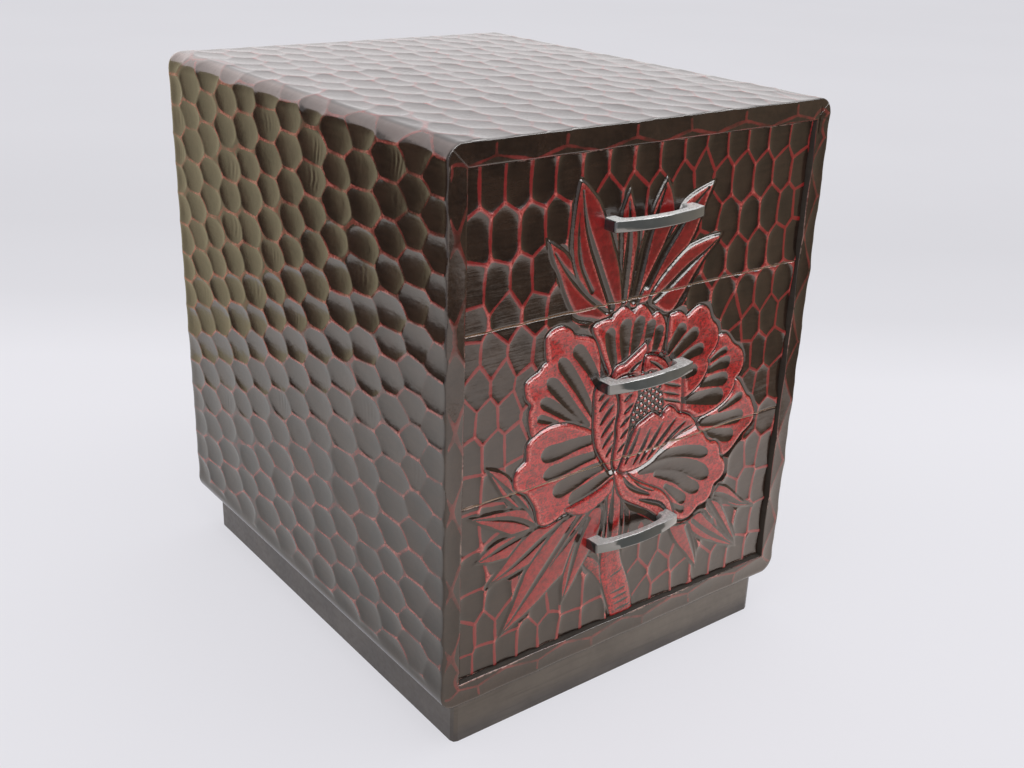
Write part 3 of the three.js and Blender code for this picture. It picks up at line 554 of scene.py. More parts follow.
def girth(s):
    """Point (x, z) and outward normal on the case's outline at s."""
    s = np.asarray(s, float)
    x, z = np.zeros_like(s), np.zeros_like(s)
    nx, nz = np.zeros_like(s), np.zeros_like(s)

    def put(m, px, pz, qx, qz):
        x[m], z[m], nx[m], nz[m] = px, pz, qx, qz

    m = s < -ARC
    put(m, -97 + (-ARC - s[m]), ZB, 0, -1)
    m = (s >= -ARC) & (s < 0)
    a = math.pi + (-s[m] / RC)
    put(m, -97 + RC * np.cos(a), 31 + RC * np.sin(a), np.cos(a), np.sin(a))
    m = (s >= 0) & (s < 230)
    put(m, -HW, 31 + s[m], -1, 0)
    m = (s >= 230) & (s < S_TOP0)
    a = math.pi - (s[m] - 230) / RC
    put(m, -97 + RC * np.cos(a), 261 + RC * np.sin(a), np.cos(a), np.sin(a))
    m = (s >= S_TOP0) & (s < S_TOP0 + 194)
    put(m, -97 + (s[m] - S_TOP0), ZT, 0, 1)
    m = (s >= S_TOP0 + 194) & (s < S_RIGHT0)
    a = math.pi / 2 - (s[m] - S_TOP0 - 194) / RC
    put(m, 97 + RC * np.cos(a), 261 + RC * np.sin(a), np.cos(a), np.sin(a))
    m = (s >= S_RIGHT0) & (s < S_END)
    put(m, HW, 261 - (s[m] - S_RIGHT0), 1, 0)
    m = (s >= S_END) & (s < S_END + ARC)
    a = -(s[m] - S_END) / RC
    put(m, 97 + RC * np.cos(a), 31 + RC * np.sin(a), np.cos(a), np.sin(a))
    m = s >= S_END + ARC
    put(m, 97 - (s[m] - S_END - ARC), ZB, 0, -1)
    return x, z, nx, nz


def s_of(x, z):
    """The girth coordinate of points near the case's outline."""
    left, right = x < -97, x > 97
    up, down = z > 261, z < 31
    s = np.where(x < 0, z - 31, S_RIGHT0 + 261 - z)
    s = np.where(up & ~left & ~right, S_TOP0 + x + 97, s)
    s = np.where(up & left, 230 + RC * (math.pi - np.arctan2(z - 261, x + 97)), s)
    s = np.where(up & right, S_TOP0 + 194 + RC * (math.pi / 2 - np.arctan2(z - 261, x - 97)), s)
    al = np.arctan2(z - 31, x + 97)
    al = np.where(al < 0, al + 2 * math.pi, al)
    s = np.where(down & left, -RC * (al - math.pi), s)
    s = np.where(down & right, S_END - RC * np.arctan2(z - 31, x - 97), s)
    s = np.where(down & ~left & ~right, np.where(x < 0, -ARC - (x + 97), S_END + ARC + (97 - x)), s)
    return s


# ---------------------------------------------------------------- the front edges of the case
# face coordinates as on the drawer fronts
FGX = np.arange(-2.0, 212.01, STEP_FRAME)
FGY = np.arange(-2.0, 248.01, STEP_FRAME)
FX, FY_ = np.meshgrid(FGX, FGY, indexing="ij")
RAIL = [(24, 13.2), (57, 13.2), (90, 13.2), (123, 13), (153.5, 13), (183.5, 13), (214, 13), (-8, 13), (8, 3.4), (40, 3.2), (73, 3.6), (106.5, 3.6), (139, 3.2),
        (168.5, 3.6), (199.5, 3.4), (24, -6), (57, -6), (90, -6), (123, -6), (153, -6), (183, -6), (214, -6)]
fsites = [(x, y, 16.5, 6.1) for x, y in RAIL]
for y, x in [(19, 4.6), (36, -3.5), (34, 12.5), (54, 4.2), (75, -3), (72, 12), (96, 4.6), (113, -2.5), (113, 12.5), (130.5, 4.4), (148, -3), (149, 12.5),
             (167, 4.6), (185, -3), (184, 12), (203, 4.2), (221, -2.5), (220, 12.3), (237, 4)]:
    fsites.append((x, y, 5.6, 12.6))
for y, x in [(29.5, 207), (12, 203), (48, 201), (62, 207.5), (80, 201.3), (101, 207), (116, 201.5), (131.5, 206.5), (150, 201), (165, 207), (184, 201.5), (198, 207),
             (216, 201.5), (232, 207)]:
    fsites.append((x, y, 5.2, 13.5))
for x, y in [(20, 233), (52, 232.6), (85, 233), (118, 232.6), (150, 233), (182, 232.6), (6, 242.5), (36, 242), (68, 242.4), (101, 242), (134, 242.4), (166, 242), (196, 242.4),
             (20, 252), (52, 252), (85, 252), (118, 252), (150, 252), (182, 252)]:
    fsites.append((x, y, 16.5, 5.8))
FH, f_ridge, f_f1 = cells(FX, FY_, fsites, base=-0.72, lift=0.46, seed=9, tilt=0.006)
FR = ridge_red(f_ridge, f_f1, FX, FY_, 71, width=0.70, node=0.6)
ox0, ox1, oy0, oy1 = 9.5, 200.5, 10.0, 235.0
inner = np.minimum(np.minimum(FX - ox0, ox1 - FX), np.minimum(FY_ - oy0, oy1 - FY_))       # > 0 inside the opening
to_open = np.abs(inner)
FR = np.maximum(FR, np.clip(0.5 + (0.55 + 0.3 * value_noise(FX, FY_, 7, 81) - to_open) / 1.0, 0, 1) * smooth(-0.6, 0.3, value_noise(FX, FY_, 16, 82)))
FH -= 0.12 * np.clip(1 - to_open / 0.6, 0, 1) ** 2
FH += 0.025 * value_noise(FX, FY_, 6.0, 83)
# distance to the outer outline with its round corners
qx, qy = np.abs(FX - 105) - 97, np.abs(FY_ - 123) - 115
outer = RC - (np.hypot(np.maximum(qx, 0), np.maximum(qy, 0)) + np.minimum(np.maximum(qx, qy), 0))
FH -= 0.6 * np.clip(1 - outer / 1.5, 0, 1) ** 2
fade = smooth(2.6, 1.0, outer)
FR *= 1 - fade
# over-cuts where the opening's upper corners were chopped
for cx, cy, dx, dy, w_, l_ in [(202.4, 7.6, 0, 1, 0.35, 3.2), (205.6, 9.6, 1, 0.15, 0.4, 2.6), (9.3, 14, 0, 1, 0.35, 6), (202.0, 12.5, 0, 1, 0.5, 4)]:
    u = (FX - cx) * dx + (FY_ - cy) * dy
    v = -(FX - cx) * dy + (FY_ - cy) * dx
    FH -= 0.4 * np.clip(1 - (v / w_) ** 2, 0, 1) * (np.abs(u) < l_)
FH = np.minimum(blur(FH, 0.5), -0.05)
# bare wood where the arris of the opening is worn through, mostly along its foot
FW = smooth(0.75, 0.25, to_open) * (np.clip(0.30 + 0.75 * value_noise(FX, FY_, 13.0, 95) + 0.6 * smooth(14.0, 9.0, FX), 0, 1) * (FY_ > 233.0)
                                    + np.clip(1.1 * value_noise(FX, FY_, 17.0, 96) - 0.35, 0, 1) * (FY_ <= 233.0))
# the same curvature for the front edges: their hollows get painted shade
FC = np.clip((FH - blur(FH, 2.0)) / 0.16, -1, 1)


# ---------------------------------------------------------------- meshes
def new_mesh(name, verts_mm, faces):
    me = bpy.data.meshes.new(name)
    me.from_pydata((np.asarray(verts_mm) * 0.001).tolist(), [], faces)
    me.update()
    return me


def new_object(name, me):
    ob = bpy.data.objects.new(name, me)
    bpy.context.scene.collection.objects.link(ob)
    return ob


def quads(ni, nj, flip):
    i, j = np.meshgrid(np.arange(ni - 1), np.arange(nj - 1), indexing="ij")
    a = (i * nj + j).ravel()
    q = np.stack([a, a + nj, a + nj + 1, a + 1], 1)
    return (q[:, ::-1] if flip else q).tolist()


def slab(name, gx, gy, h, y_front, y_back):
    """Closed block whose front is a height field over face coordinates, h in mm outward."""
    ni, nj = len(gx), len(gy)
    XX, YY = np.meshgrid(gx - HW, ZT - gy, indexing="ij")
    top = np.stack([XX.ravel(), (y_front - h).ravel(), YY.ravel()], 1)
    x0, x1, z0, z1 = XX[0, 0], XX[-1, 0], YY[0, -1], YY[0, 0]
    base = len(top)
    corners = [(x0, y_back, z1), (x1, y_back, z1), (x1, y_back, z0), (x0, y_back, z0)]
    v = np.vstack([top, corners])
    f = quads(ni, nj, False)
    c0, c1, c2, c3 = range(base, base + 4)
    row_top = [i * nj for i in range(ni)]                     # z1 side
    row_bot = [i * nj + nj - 1 for i in range(ni)]
    col_l = [j for j in range(nj)]
    col_r = [(ni - 1) * nj + j for j in range(nj)]
    f.append(row_top[::-1] + [c0, c1])
    f.append(row_bot + [c2, c3])
    f.append(col_l + [c3, c0])
    f.append(col_r[::-1] + [c1, c2])
    f.append([c0, c3, c2, c1])
    return outward(new_object(name, new_mesh(name, v, f)))


def outward(ob):
    """Turns the closed mesh's faces outward."""
    bm = bmesh.new()
    bm.from_mesh(ob.data)
    bmesh.ops.recalc_face_normals(bm, faces=bm.faces)
    if bm.calc_volume(signed=True) < 0:
        bmesh.ops.reverse_faces(bm, faces=bm.faces)
    bm.to_mesh(ob.data)
    bm.free()
    return ob


def skin_block(name, s0, s1, step_s, step_t):
    """Closed block whose outside is the gouged skin from s0 to s1, closed by the straight wall between the two ends."""
    s = np.linspace(s0, s1, int(round((s1 - s0) / step_s)) + 1)
    for at_ in (-ARC / 2, S_TOP0 - ARC / 2, S_RIGHT0 - ARC / 2, S_END + ARC / 2):      # finer at the mitres, and alike on both boards
        if s0 < at_ < s1:
            s = np.sort(np.concatenate([s[np.abs(s - at_) > 0.75], at_ + np.array([-0.5, -0.22, -0.08, 0.0, 0.08, 0.22, 0.5])]))
    t = np.linspace(-3.0, 251.0, int(round(254.0 / step_t)) + 1)
    x, z, nx, nz = girth(s)
    SS, TT = np.meshgrid(s, t, indexing="ij")
    h = skin_at(KH, SS, TT)
    V = np.stack([(x[:, None] + nx[:, None] * h).ravel(), (YB - TT).ravel(), (z[:, None] + nz[:, None] * h).ravel()], 1)
    ni, nj = len(s), len(t)
    f = quads(ni, nj, False)
    f.append([i * nj for i in range(ni)])
    f.append([i * nj + nj - 1 for i in range(ni)][::-1])
    f.append([j for j in range(nj)][::-1] + [(ni - 1) * nj + j for j in range(nj)])
    return outward(new_object(name, new_mesh(name, V, f)))


def copy_of(node, name):
    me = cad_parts[node].data.copy()
    me.transform(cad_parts[node].matrix_world)
    me.name = name
    ob = new_object(name, me)
    bm = bmesh.new()
    bm.from_mesh(me)
    bmesh.ops.remove_doubles(bm, verts=bm.verts, dist=2e-6)
    bmesh.ops.recalc_face_normals(bm, faces=bm.faces)
    bm.to_mesh(me)
    bm.free()
    me.materials.clear()
    return ob


def boolean(ob, other, operation):
    mod = ob.modifiers.new("cut", "BOOLEAN")
    mod.solver = "MANIFOLD"
    mod.operation = operation
    mod.object = other
    bpy.context.view_layer.update()
    made = bpy.data.meshes.new_from_object(ob.evaluated_get(bpy.context.evaluated_depsgraph_get()))
    ob.modifiers.clear()
    old = ob.data
    ob.data = made
    made.name = ob.name
    bpy.data.meshes.remove(old)


def drop(*obs):
    for o in obs:
        me = o.data
        bpy.data.objects.remove(o)
        bpy.data.meshes.remove(me)


def corners_mm(me):
    co = np.empty(len(me.vertices) * 3, np.float32)
    me.vertices.foreach_get("co", co)
    return co.reshape(-1, 3).astype(float) * 1000.0


def put_attribute(me, name, values):
    a = me.attributes.get(name) or me.attributes.new(name, "FLOAT", "POINT")
    a.data.foreach_set("value", np.asarray(values, np.float32))


def finish_mesh(me, angle=48):
    me.polygons.foreach_set("use_smooth", np.ones(len(me.polygons), bool))
    me.set_sharp_from_angle(angle=math.radians(angle))
    me.update()


# ---------------------------------------------------------------- material tools
class Tree:
    """Short hand for building a node material."""

    def __init__(self, name):
        self.mat = bpy.data.materials.new(name)
        self.mat.use_nodes = True
        self.nt = self.mat.node_tree
        self.bsdf = next(n for n in self.nt.nodes if n.type == "BSDF_PRINCIPLED")

    def add(self, kind, inputs=(), **props):
        n = self.nt.nodes.new(kind)
        for k, v in props.items():
            setattr(n, k, v)
        for k, v in dict(inputs).items():
            self.put(n.inputs[k], v)
        return n

    def put(self, socket, v):
        if isinstance(v, bpy.types.NodeSocket):
            self.nt.links.new(v, socket)
        else:
            socket.default_value = v

    def attr(self, name):
        return self.add("ShaderNodeAttribute", attribute_name=name, attribute_type="GEOMETRY").outputs["Fac"]

    def coords(self, scale=(1, 1, 1), rotate=(0, 0, 0), offset=(0, 0, 0)):
        tc = self.add("ShaderNodeTexCoord")
        m = self.add("ShaderNodeMapping", {"Vector": tc.outputs["Object"], "Scale": scale, "Rotation": rotate, "Location": offset})
        return m.outputs["Vector"]

    def noise(self, vector, scale, detail=3.0, rough=0.55, distortion=0.0):
        return self.add("ShaderNodeTexNoise", {"Vector": vector, "Scale": scale, "Detail": detail, "Roughness": rough, "Distortion": distortion}).outputs["Fac"]

    def math(self, op, a, b=0.0, c=None, clamp=False):
        n = self.add("ShaderNodeMath", operation=op, use_clamp=clamp)
        self.put(n.inputs[0], a)
        self.put(n.inputs[1], b)
        if c is not None:
            self.put(n.inputs[2], c)
        return n.outputs[0]

    def span(self, v, lo, hi, out_lo=0.0, out_hi=1.0, kind="SMOOTHSTEP"):
        n = self.add("ShaderNodeMapRange", {"Value": v, "From Min": lo, "From Max": hi, "To Min": out_lo, "To Max": out_hi}, interpolation_type=kind, clamp=True)
        return n.outputs["Result"]

    def mix(self, fac, a, b, mode="MIX"):
        n = self.add("ShaderNodeMix", data_type="RGBA", blend_type=mode)
        for sock, v in ((n.inputs[0], fac), (n.inputs[6], a), (n.inputs[7], b)):
            self.put(sock, v if isinstance(v, (bpy.types.NodeSocket, float, int)) else (*v, 1.0) if len(v) == 3 else v)
        return n.outputs[2]

    def ramp(self, v, stops):
        n = self.add("ShaderNodeValToRGB", {"Fac": v})
        cr = n.color_ramp
        while len(cr.elements) < len(stops):
            cr.elements.new(0.5)
        for e, (p, c) in zip(cr.elements, stops):
            e.position, e.color = p, (*c, 1.0)
        return n.outputs["Color"]

    def bump(self, height, strength, distance, normal=None):
        ins = {"Height": height, "Strength": strength, "Distance": distance}
        if normal is not None:
            ins["Normal"] = normal
        return self.add("ShaderNodeBump", ins).outputs["Normal"]

    def surface(self, **ins):
        for k, v in ins.items():
            k = k.replace("_", " ")
            if isinstance(v, tuple) and len(v) == 3:
                v = (*v, 1.0)
            self.put(self.bsdf.inputs[k], v)
        return self.mat


DARK_A, DARK_B = (0.014, 0.0070, 0.0048), (0.034, 0.0175, 0.0110)
# RED_C, the paler pink of the crests, is partly rubbed red and partly a painted highlight
RED_A, RED_B, RED_C = (0.310, 0.005, 0.006), (0.560, 0.014, 0.015), (0.60, 0.12, 0.10)


def redline(lo, hi):
    return tuple(0.35 * a + 0.65 * b for a, b in zip(lo, hi))


def carved_lacquer(name, stretch, line=1.0, ripe=1.0, grain_deep=1.0):
    """Dark lacquer over red: the red shows where the hand has rubbed the crests, and on petals and leaves.
    line is how strongly the crests show, ripe how red they are rather than brown."""
    t = Tree(name)
    mm = t.coords((1000, 1000, 1000))
    along = t.coords(stretch)
    fine = t.noise(mm, 0.9, 3.0, 0.6)              # about 1.2 mm
    broad = t.noise(mm, 0.07, 2.0, 0.5)
    grain = t.noise(along, 1.0, 4.0, 0.62)
    red, cav, pet, wear = t.attr("red"), t.attr("cav"), t.attr("pet"), t.attr("edge")
    # red amount with a hand-rubbed border
    r = t.math("ADD", red, t.math("MULTIPLY", t.math("SUBTRACT", fine, 0.5), 0.40))
    r = t.math("ADD", r, t.math("MULTIPLY", t.math("SUBTRACT", broad, 0.5), 0.30))
    r = t.span(r, 0.34, 0.74)
    if line < 1.0:
        r = t.math("MULTIPLY", r, t.span(t.noise(mm, 0.11, 3.0, 0.6), 0.34, 0.64, 0.25 * line, line))
    # on the petals fine flecks of the dark coat are left in the red
    fleck = t.span(t.noise(mm, 0.95, 4.0, 0.70), 0.515, 0.585)
    scratch = t.span(t.noise(t.coords((300, 300, 1500), (0.0, 0.6, 0.0)), 1.0, 3.0, 0.6), 0.56, 0.66)
    fleck = t.math("MULTIPLY", t.math("MAXIMUM", fleck, scratch), t.math("MULTIPLY", pet, 0.90))
    crest = t.span(cav, 0.30, 0.95)
    dark = t.mix(t.span(t.math("ADD", t.math("MULTIPLY", broad, 0.6), t.math("MULTIPLY", grain, 0.5)), 0.35, 0.75), DARK_A, DARK_B)
    # painted shade: the dark lacquer is painted darker still in the hollows
    dark = t.mix(t.span(cav, -0.1, -0.9, 0.0, 0.45), dark, (0.010, 0.005, 0.004))
    brown = (0.15, 0.040, 0.026)
    lo = tuple(ripe * a_ + (1 - ripe) * 0.8 * b_ for a_, b_ in zip(RED_A, brown))
    hi = tuple(ripe * a_ + (1 - ripe) * 1.6 * b_ for a_, b_ in zip(RED_B, brown))
    top = tuple(ripe * a_ + (1 - ripe) * b_ for a_, b_ in zip(RED_C, (0.38, 0.16, 0.12)))
    redc = t.mix(t.span(t.noise(mm, 0.35, 2.0, 0.5), 0.30, 0.62), lo, hi)
    redc = t.mix(t.math("SUBTRACT", 1.0, t.attr("raised")), redc, tuple(0.47 * a_ + 0.006 for a_ in redline(lo, hi)))
    leaf = t.math("MULTIPLY", t.math("SUBTRACT", 1.0, pet), t.attr("raised"))
    redc = t.mix(t.math("MULTIPLY", leaf, 0.92), redc, t.mix(t.span(t.noise(along, 0.35, 3.0, 0.6), 0.36, 0.62), (0.088, 0.005, 0.0045), (0.165, 0.006, 0.005)))
    redc = t.mix(fleck, redc, (0.024, 0.007, 0.006))
    # on the crests the red turns paler: partly rubbed lacquer, partly a painted highlight
    redc = t.mix(t.math("MULTIPLY", crest, t.span(fine, 0.35, 0.6)), redc, top)
    # painted shade: the red is painted darker in the hollows
    redc = t.mix(t.span(cav, -0.10, -0.7, 0.0, 0.6), redc, (0.05, 0.006, 0.007))
    col = t.mix(r, dark, redc)
    bare = t.math("MULTIPLY", wear, t.span(t.noise(mm, 0.45, 3.0, 0.6), 0.36, 0.56))
    col = t.mix(bare, col, (0.50, 0.31, 0.25))
    rough = t.math("ADD", t.span(fine, 0.3, 0.7, 0.13, 0.20), t.math("MULTIPLY", r, 0.05))
    rough = t.math("ADD", rough, t.math("MULTIPLY", bare, 0.3))
    n = t.bump(grain, 0.30, 0.00010 * grain_deep)
    n = t.bump(t.noise(mm, 0.35, 2.0, 0.5), 0.10, 0.0005, n)
    t.surface(Base_Color=col, Roughness=rough, Normal=n, IOR=1.55)
    return t.mat


def plain_lacquer(name, stretch, matt_and_shaded=False):
    """Flat dark lacquer with brush marks and a little dust. With the third argument set: the thin matt coat inside the
    case, with its colour also darkened as painted shade for the inside of the case.
    """
    t = Tree(name)
    mm = t.coords((1000, 1000, 1000))
    brush = t.noise(t.coords(stretch), 1.0, 5.0, 0.6)
    cloud = t.noise(mm, 0.05, 3.0, 0.55)
    col = t.mix(t.span(cloud, 0.3, 0.7), (0.046, 0.034, 0.026), (0.074, 0.058, 0.045))
    col = t.mix(t.span(brush, 0.45, 0.75, 0.0, 0.5), col, (0.024, 0.015, 0.010))
    # painted shade: inside the case the colour is painted darker
    if matt_and_shaded:
        col = t.mix(0.6, col, (0.012, 0.008, 0.006))
    t.surface(Base_Color=col, Roughness=t.span(t.noise(mm, 0.5, 4.0, 0.6), 0.3, 0.7, *((0.62, 0.75) if matt_and_shaded else (0.28, 0.42))),
              Normal=t.bump(brush, 0.30, 0.0002), IOR=1.2 if matt_and_shaded else 1.55)
    return t.mat


def bare_wood(name, stretch, pale, deep, rough=0.62):
    """Pale soft wood: growth lines along the board, pores and a little colour drift."""
    t = Tree(name)
    mm = t.coords((1000, 1000, 1000))
    v = t.coords(stretch)
    warp = t.noise(v, 0.35, 2.0, 0.5, 0.4)
    lines = t.add("ShaderNodeTexWave", {"Vector": v, "Scale": 0.55, "Distortion": 5.5, "Detail": 3.0, "Detail Scale": 0.8, "Detail Roughness": 0.6},
                  wave_type="BANDS", bands_direction="Z").outputs["Fac"]
    fibre = t.noise(v, 3.5, 6.0, 0.7)
    c = t.mix(t.span(lines, 0.25, 0.9), pale, deep)
    c = t.mix(t.span(fibre, 0.35, 0.7, 0.0, 0.45), c, tuple(0.6 * a for a in deep))
    c = t.mix(t.span(warp, 0.3, 0.75, 0.0, 0.35), c, tuple(min(1, 1.15 * a) for a in pale))
    n = t.bump(fibre, 0.5, 0.0002)
    t.surface(Base_Color=c, Roughness=t.span(t.noise(mm, 0.3, 3.0, 0.6), 0.3, 0.7, rough - 0.06, rough + 0.08), Normal=n, IOR=1.45)
    return t.mat


def glossy_black(name):
    t = Tree(name)
    mm = t.coords((1000, 1000, 1000))
    cloud = t.noise(mm, 0.25, 3.0, 0.6)
    speck = t.noise(mm, 0.9, 4.0, 0.65)
    # painted highlight: the upper faces are painted a flecked light grey for the overhead light falling on them
    top_light_paint = t.math("MULTIPLY", t.attr("painted_top_light"), t.span(speck, 0.25, 0.75, 0.70, 1.0))
    col = t.mix(t.span(cloud, 0.35, 0.7), (0.010, 0.011, 0.012), (0.022, 0.024, 0.025))
    # painted reflection: the front face is painted greyer than the ends, for the reflection it shows
    col = t.mix(t.attr("front"), col, (0.072, 0.079, 0.078))
    col = t.mix(top_light_paint, col, (0.86, 0.88, 0.86))
    n = t.bump(t.noise(mm, 0.13, 2.0, 0.5), 0.22, 0.0010)
    n = t.bump(t.noise(mm, 1.1, 3.0, 0.6), 0.10, 0.0002, n)
    rough = t.math("ADD", t.span(speck, 0.3, 0.7, 0.08, 0.17), t.math("MULTIPLY", top_light_paint, 0.22))
    t.surface(Base_Color=col, Roughness=rough, Normal=n, IOR=2.0)
    return t.mat


def steel(name):
    t = Tree(name)
    mm = t.coords((1000, 1000, 1000))
    c = t.mix(t.span(t.noise(mm, 0.8, 4.0, 0.6), 0.35, 0.7), (0.42, 0.40, 0.36), (0.56, 0.55, 0.52))
    t.surface(Base_Color=c, Roughness=t.span(t.noise(mm, 2.0, 3.0, 0.6), 0.3, 0.7, 0.28, 0.42), Metallic=1.0, Normal=t.bump(t.noise(mm, 3.0, 2.0, 0.5), 0.3, 0.00005))
    return t.mat


M_SIDE = carved_lacquer("lacquer_gouged_sides", (500, 60, 500), 0.85, 0.60)
M_TOP = carved_lacquer("lacquer_gouged_top", (500, 60, 500), 0.85, 0.70)
M_FRONT = carved_lacquer("lacquer_carved_fronts", (55, 600, 600), grain_deep=2.2)
M_PLAIN = plain_lacquer("lacquer_plain_x", (30, 600, 600))
M_PLAIN_Y = plain_lacquer("lacquer_plain_y", (600, 30, 600))
# for the uncarved faces of the case's boards: matt, and painted darker as shade inside the case
M_INSIDE = plain_lacquer("lacquer_matt_inside_painted_shade", (600, 30, 600), True)
M_WOOD_X = bare_wood("wood_along_x", (14, 300, 300), (0.50, 0.34, 0.19), (0.33, 0.19, 0.092))
M_WOOD_Y = bare_wood("wood_along_y", (300, 14, 300), (0.48, 0.32, 0.18), (0.31, 0.18, 0.088))
M_PLY = bare_wood("plywood_face", (20, 90, 300), (0.46, 0.31, 0.18), (0.34, 0.21, 0.11), 0.66)
M_FRONT_WOOD = bare_wood("wood_front_edges", (16, 260, 260), (0.40, 0.25, 0.13), (0.22, 0.115, 0.055))
M_BLACK = glossy_black("handle_black_gloss")
M_STEEL = steel("screw_bright_steel")


# ---------------------------------------------------------------- the carved pieces
def dress(ob, carved_faces, outer, inner, red, cav, pet, edge, raised):
    me = ob.data
    me.materials.clear()
    me.materials.append(outer)
    me.materials.append(inner)
    me.polygons.foreach_set("material_index", np.where(carved_faces, 0, 1).astype(np.int32))
    put_attribute(me, "red", red)
    put_attribute(me, "cav", cav)
    put_attribute(me, "pet", pet)
    put_attribute(me, "edge", edge)
    put_attribute(me, "raised", raised)
    finish_mesh(me)


def face_data(me):
    n = len(me.polygons)
    c, no = np.empty(n * 3, np.float32), np.empty(n * 3, np.float32)
    me.polygons.foreach_get("center", c)
    me.polygons.foreach_get("normal", no)
    return c.reshape(-1, 3).astype(float) * 1000, no.reshape(-1, 3).astype(float)


# worn edges: place across the front and half length, in mm
WORN = {"top": [(38, 4), (69.5, 7), (120, 3), (180, 9)], "middle": [(38, 4), (69.5, 7), (14.5, 6), (150, 8), (97, 3)], "bottom": [(14, 7), (14.5, 6), (60, 5), (128, 10), (187, 6)]}
FRONTS = {"top": (193.5, 258.3, 0.6), "middle": (118.5, 192.9, 0.9), "bottom": (34.8, 117.9, 1.2)}
for key, (z0, z1, gap) in FRONTS.items():
    node = key + "_drawer_front"
    j0, j1 = np.searchsorted(GY, [ZT - z1 - 1.2, ZT - z0 + 1.2])
    h = H[:, j0:j1].copy()
    gy = GY[j0:j1]
    to_edge = np.minimum(gy - (ZT - z1), (ZT - z0) - gy)[None, :] + 0.12 * value_noise(X[:, j0:j1], Y[:, j0:j1], 9.0, 90)
    h -= (0.10 if key == "top" else 0.20) * np.clip(1 - to_edge / 0.5, 0, 1) ** 2
    to_side = np.minimum(GX - 9.9, 210 - HW + 95.5 - gap - GX)[:, None]
    h -= 0.20 * np.clip(1 - to_side / 0.6, 0, 1) ** 2
    block = slab("block", GX, gy, h, YD, YD + 15)
    ob = copy_of(node, key + "_front_carved")
    boolean(ob, block, "INTERSECT")
    drop(block)
    P = corners_mm(ob.data)
    fx, fy = P[:, 0] + HW, ZT - P[:, 2]
    c, no = face_data(ob.data)
    at = lambda A: sample(A, GX[0], STEP, GY[0], STEP, fx, fy)
    near = np.minimum(fy - (ZT - z1), (ZT - z0) - fy)
    spots = sum(np.exp(-((fx - wx) / ww) ** 2) for wx, ww in WORN[key])
    worn = smooth(0.42, 0.12, near) * np.clip(0.05 + 0.85 * spots, 0, 1)
    dress(ob, no[:, 1] < -0.25, M_FRONT, M_FRONT_WOOD, at(R), at(CAV), at(MOT), worn, at(M))
    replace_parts(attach(ob, key + "_drawer"), node)

frame_block = slab("frame_block", FGX, FGY, FH, YF, YB + 5)


def close_mitres(me):
    """The glued mitres show no gap: each board goes a hair past the plane where two of them meet."""
    P = corners_mm(me)
    mid = P.mean(axis=0)
    for sx, z_in, z_out in ((-1, 259.0, 266.657), (1, 259.0, 266.657), (-1, 34.0, 25.343), (1, 34.0, 25.343)):
        ex, ez = sx * 7.157, z_out - z_in
        nx_, nz_ = ez / math.hypot(ex, ez), -ex / math.hypot(ex, ez)
        off = (P[:, 0] - sx * 95.5) * nx_ + (P[:, 2] - z_in) * nz_
        far = (mid[0] - sx * 95.5) * nx_ + (mid[2] - z_in) * nz_
        m = (np.abs(off) < 0.004) & (np.abs(P[:, 2] - z_in) < 9)
        P[m, 0] -= math.copysign(0.012, far) * nx_
        P[m, 2] -= math.copysign(0.012, far) * nz_
    me.vertices.foreach_set("co", (P * 0.001).astype(np.float32).ravel())
    me.update()


def carve_case(node, name, s0=None, s1=None, step_s=STEP_S, step_t=STEP_Y, mat=M_SIDE):
    ob = copy_of(node, name)
    if s0 is not None:
        skin = skin_block("skin", s0, s1, step_s, step_t)
        boolean(ob, skin, "INTERSECT")
        drop(skin)
    boolean(ob, frame_block, "INTERSECT")
    close_mitres(ob.data)
    P = corners_mm(ob.data)
    c, no = face_data(ob.data)
    fx, fy = P[:, 0] + HW, ZT - P[:, 2]
    s, t_ = s_of(P[:, 0], P[:, 2]), YB - P[:, 1]
    on_front = P[:, 1] < YF + 1.35
    ffx = lambda A: sample(A, FGX[0], STEP_FRAME, FGY[0], STEP_FRAME, fx, fy)
    red = np.where(on_front, ffx(FR), skin_at(KR, s, t_))
    cav = np.where(on_front, ffx(FC), skin_at(KC, s, t_))
    qx_, qz_ = np.abs(c[:, 0]) - 97, np.abs(c[:, 2] - 146) - 115
    out_ = RC - (np.hypot(np.maximum(qx_, 0), np.maximum(qz_, 0)) + np.minimum(np.maximum(qx_, qz_), 0))
    carved_faces = ((out_ < 2.4) & (np.abs(no[:, 1]) < 0.8)) | (no[:, 1] < -0.5) & (c[:, 1] < YF + 1.6)
    dress(ob, carved_faces, mat, M_INSIDE, red, cav, np.zeros(len(P)), np.where(on_front, ffx(FW), 0.0), np.zeros(len(P)))
    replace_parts(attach(ob, "case"), node)
    return ob


carve_case("left_side_panel", "left_side_gouged", -30, 262)
carve_case("top_panel", "top_gouged", 205, S_RIGHT0 + 25, mat=M_TOP)
carve_case("right_side_panel", "right_side_gouged", S_RIGHT0 - 19.4, S_END + 30, STEP_S * 1.6)
carve_case("bottom_panel", "bottom_edge_gouged")
drop(frame_block)


# ---------------------------------------------------------------- handles
ARCH = [(0.0, -5.5), (4.5, -5.4), (9.0, -5.05), (13.5, -4.4), (16.6, -3.6), (18.2, -2.6), (18.8, -1.2)]


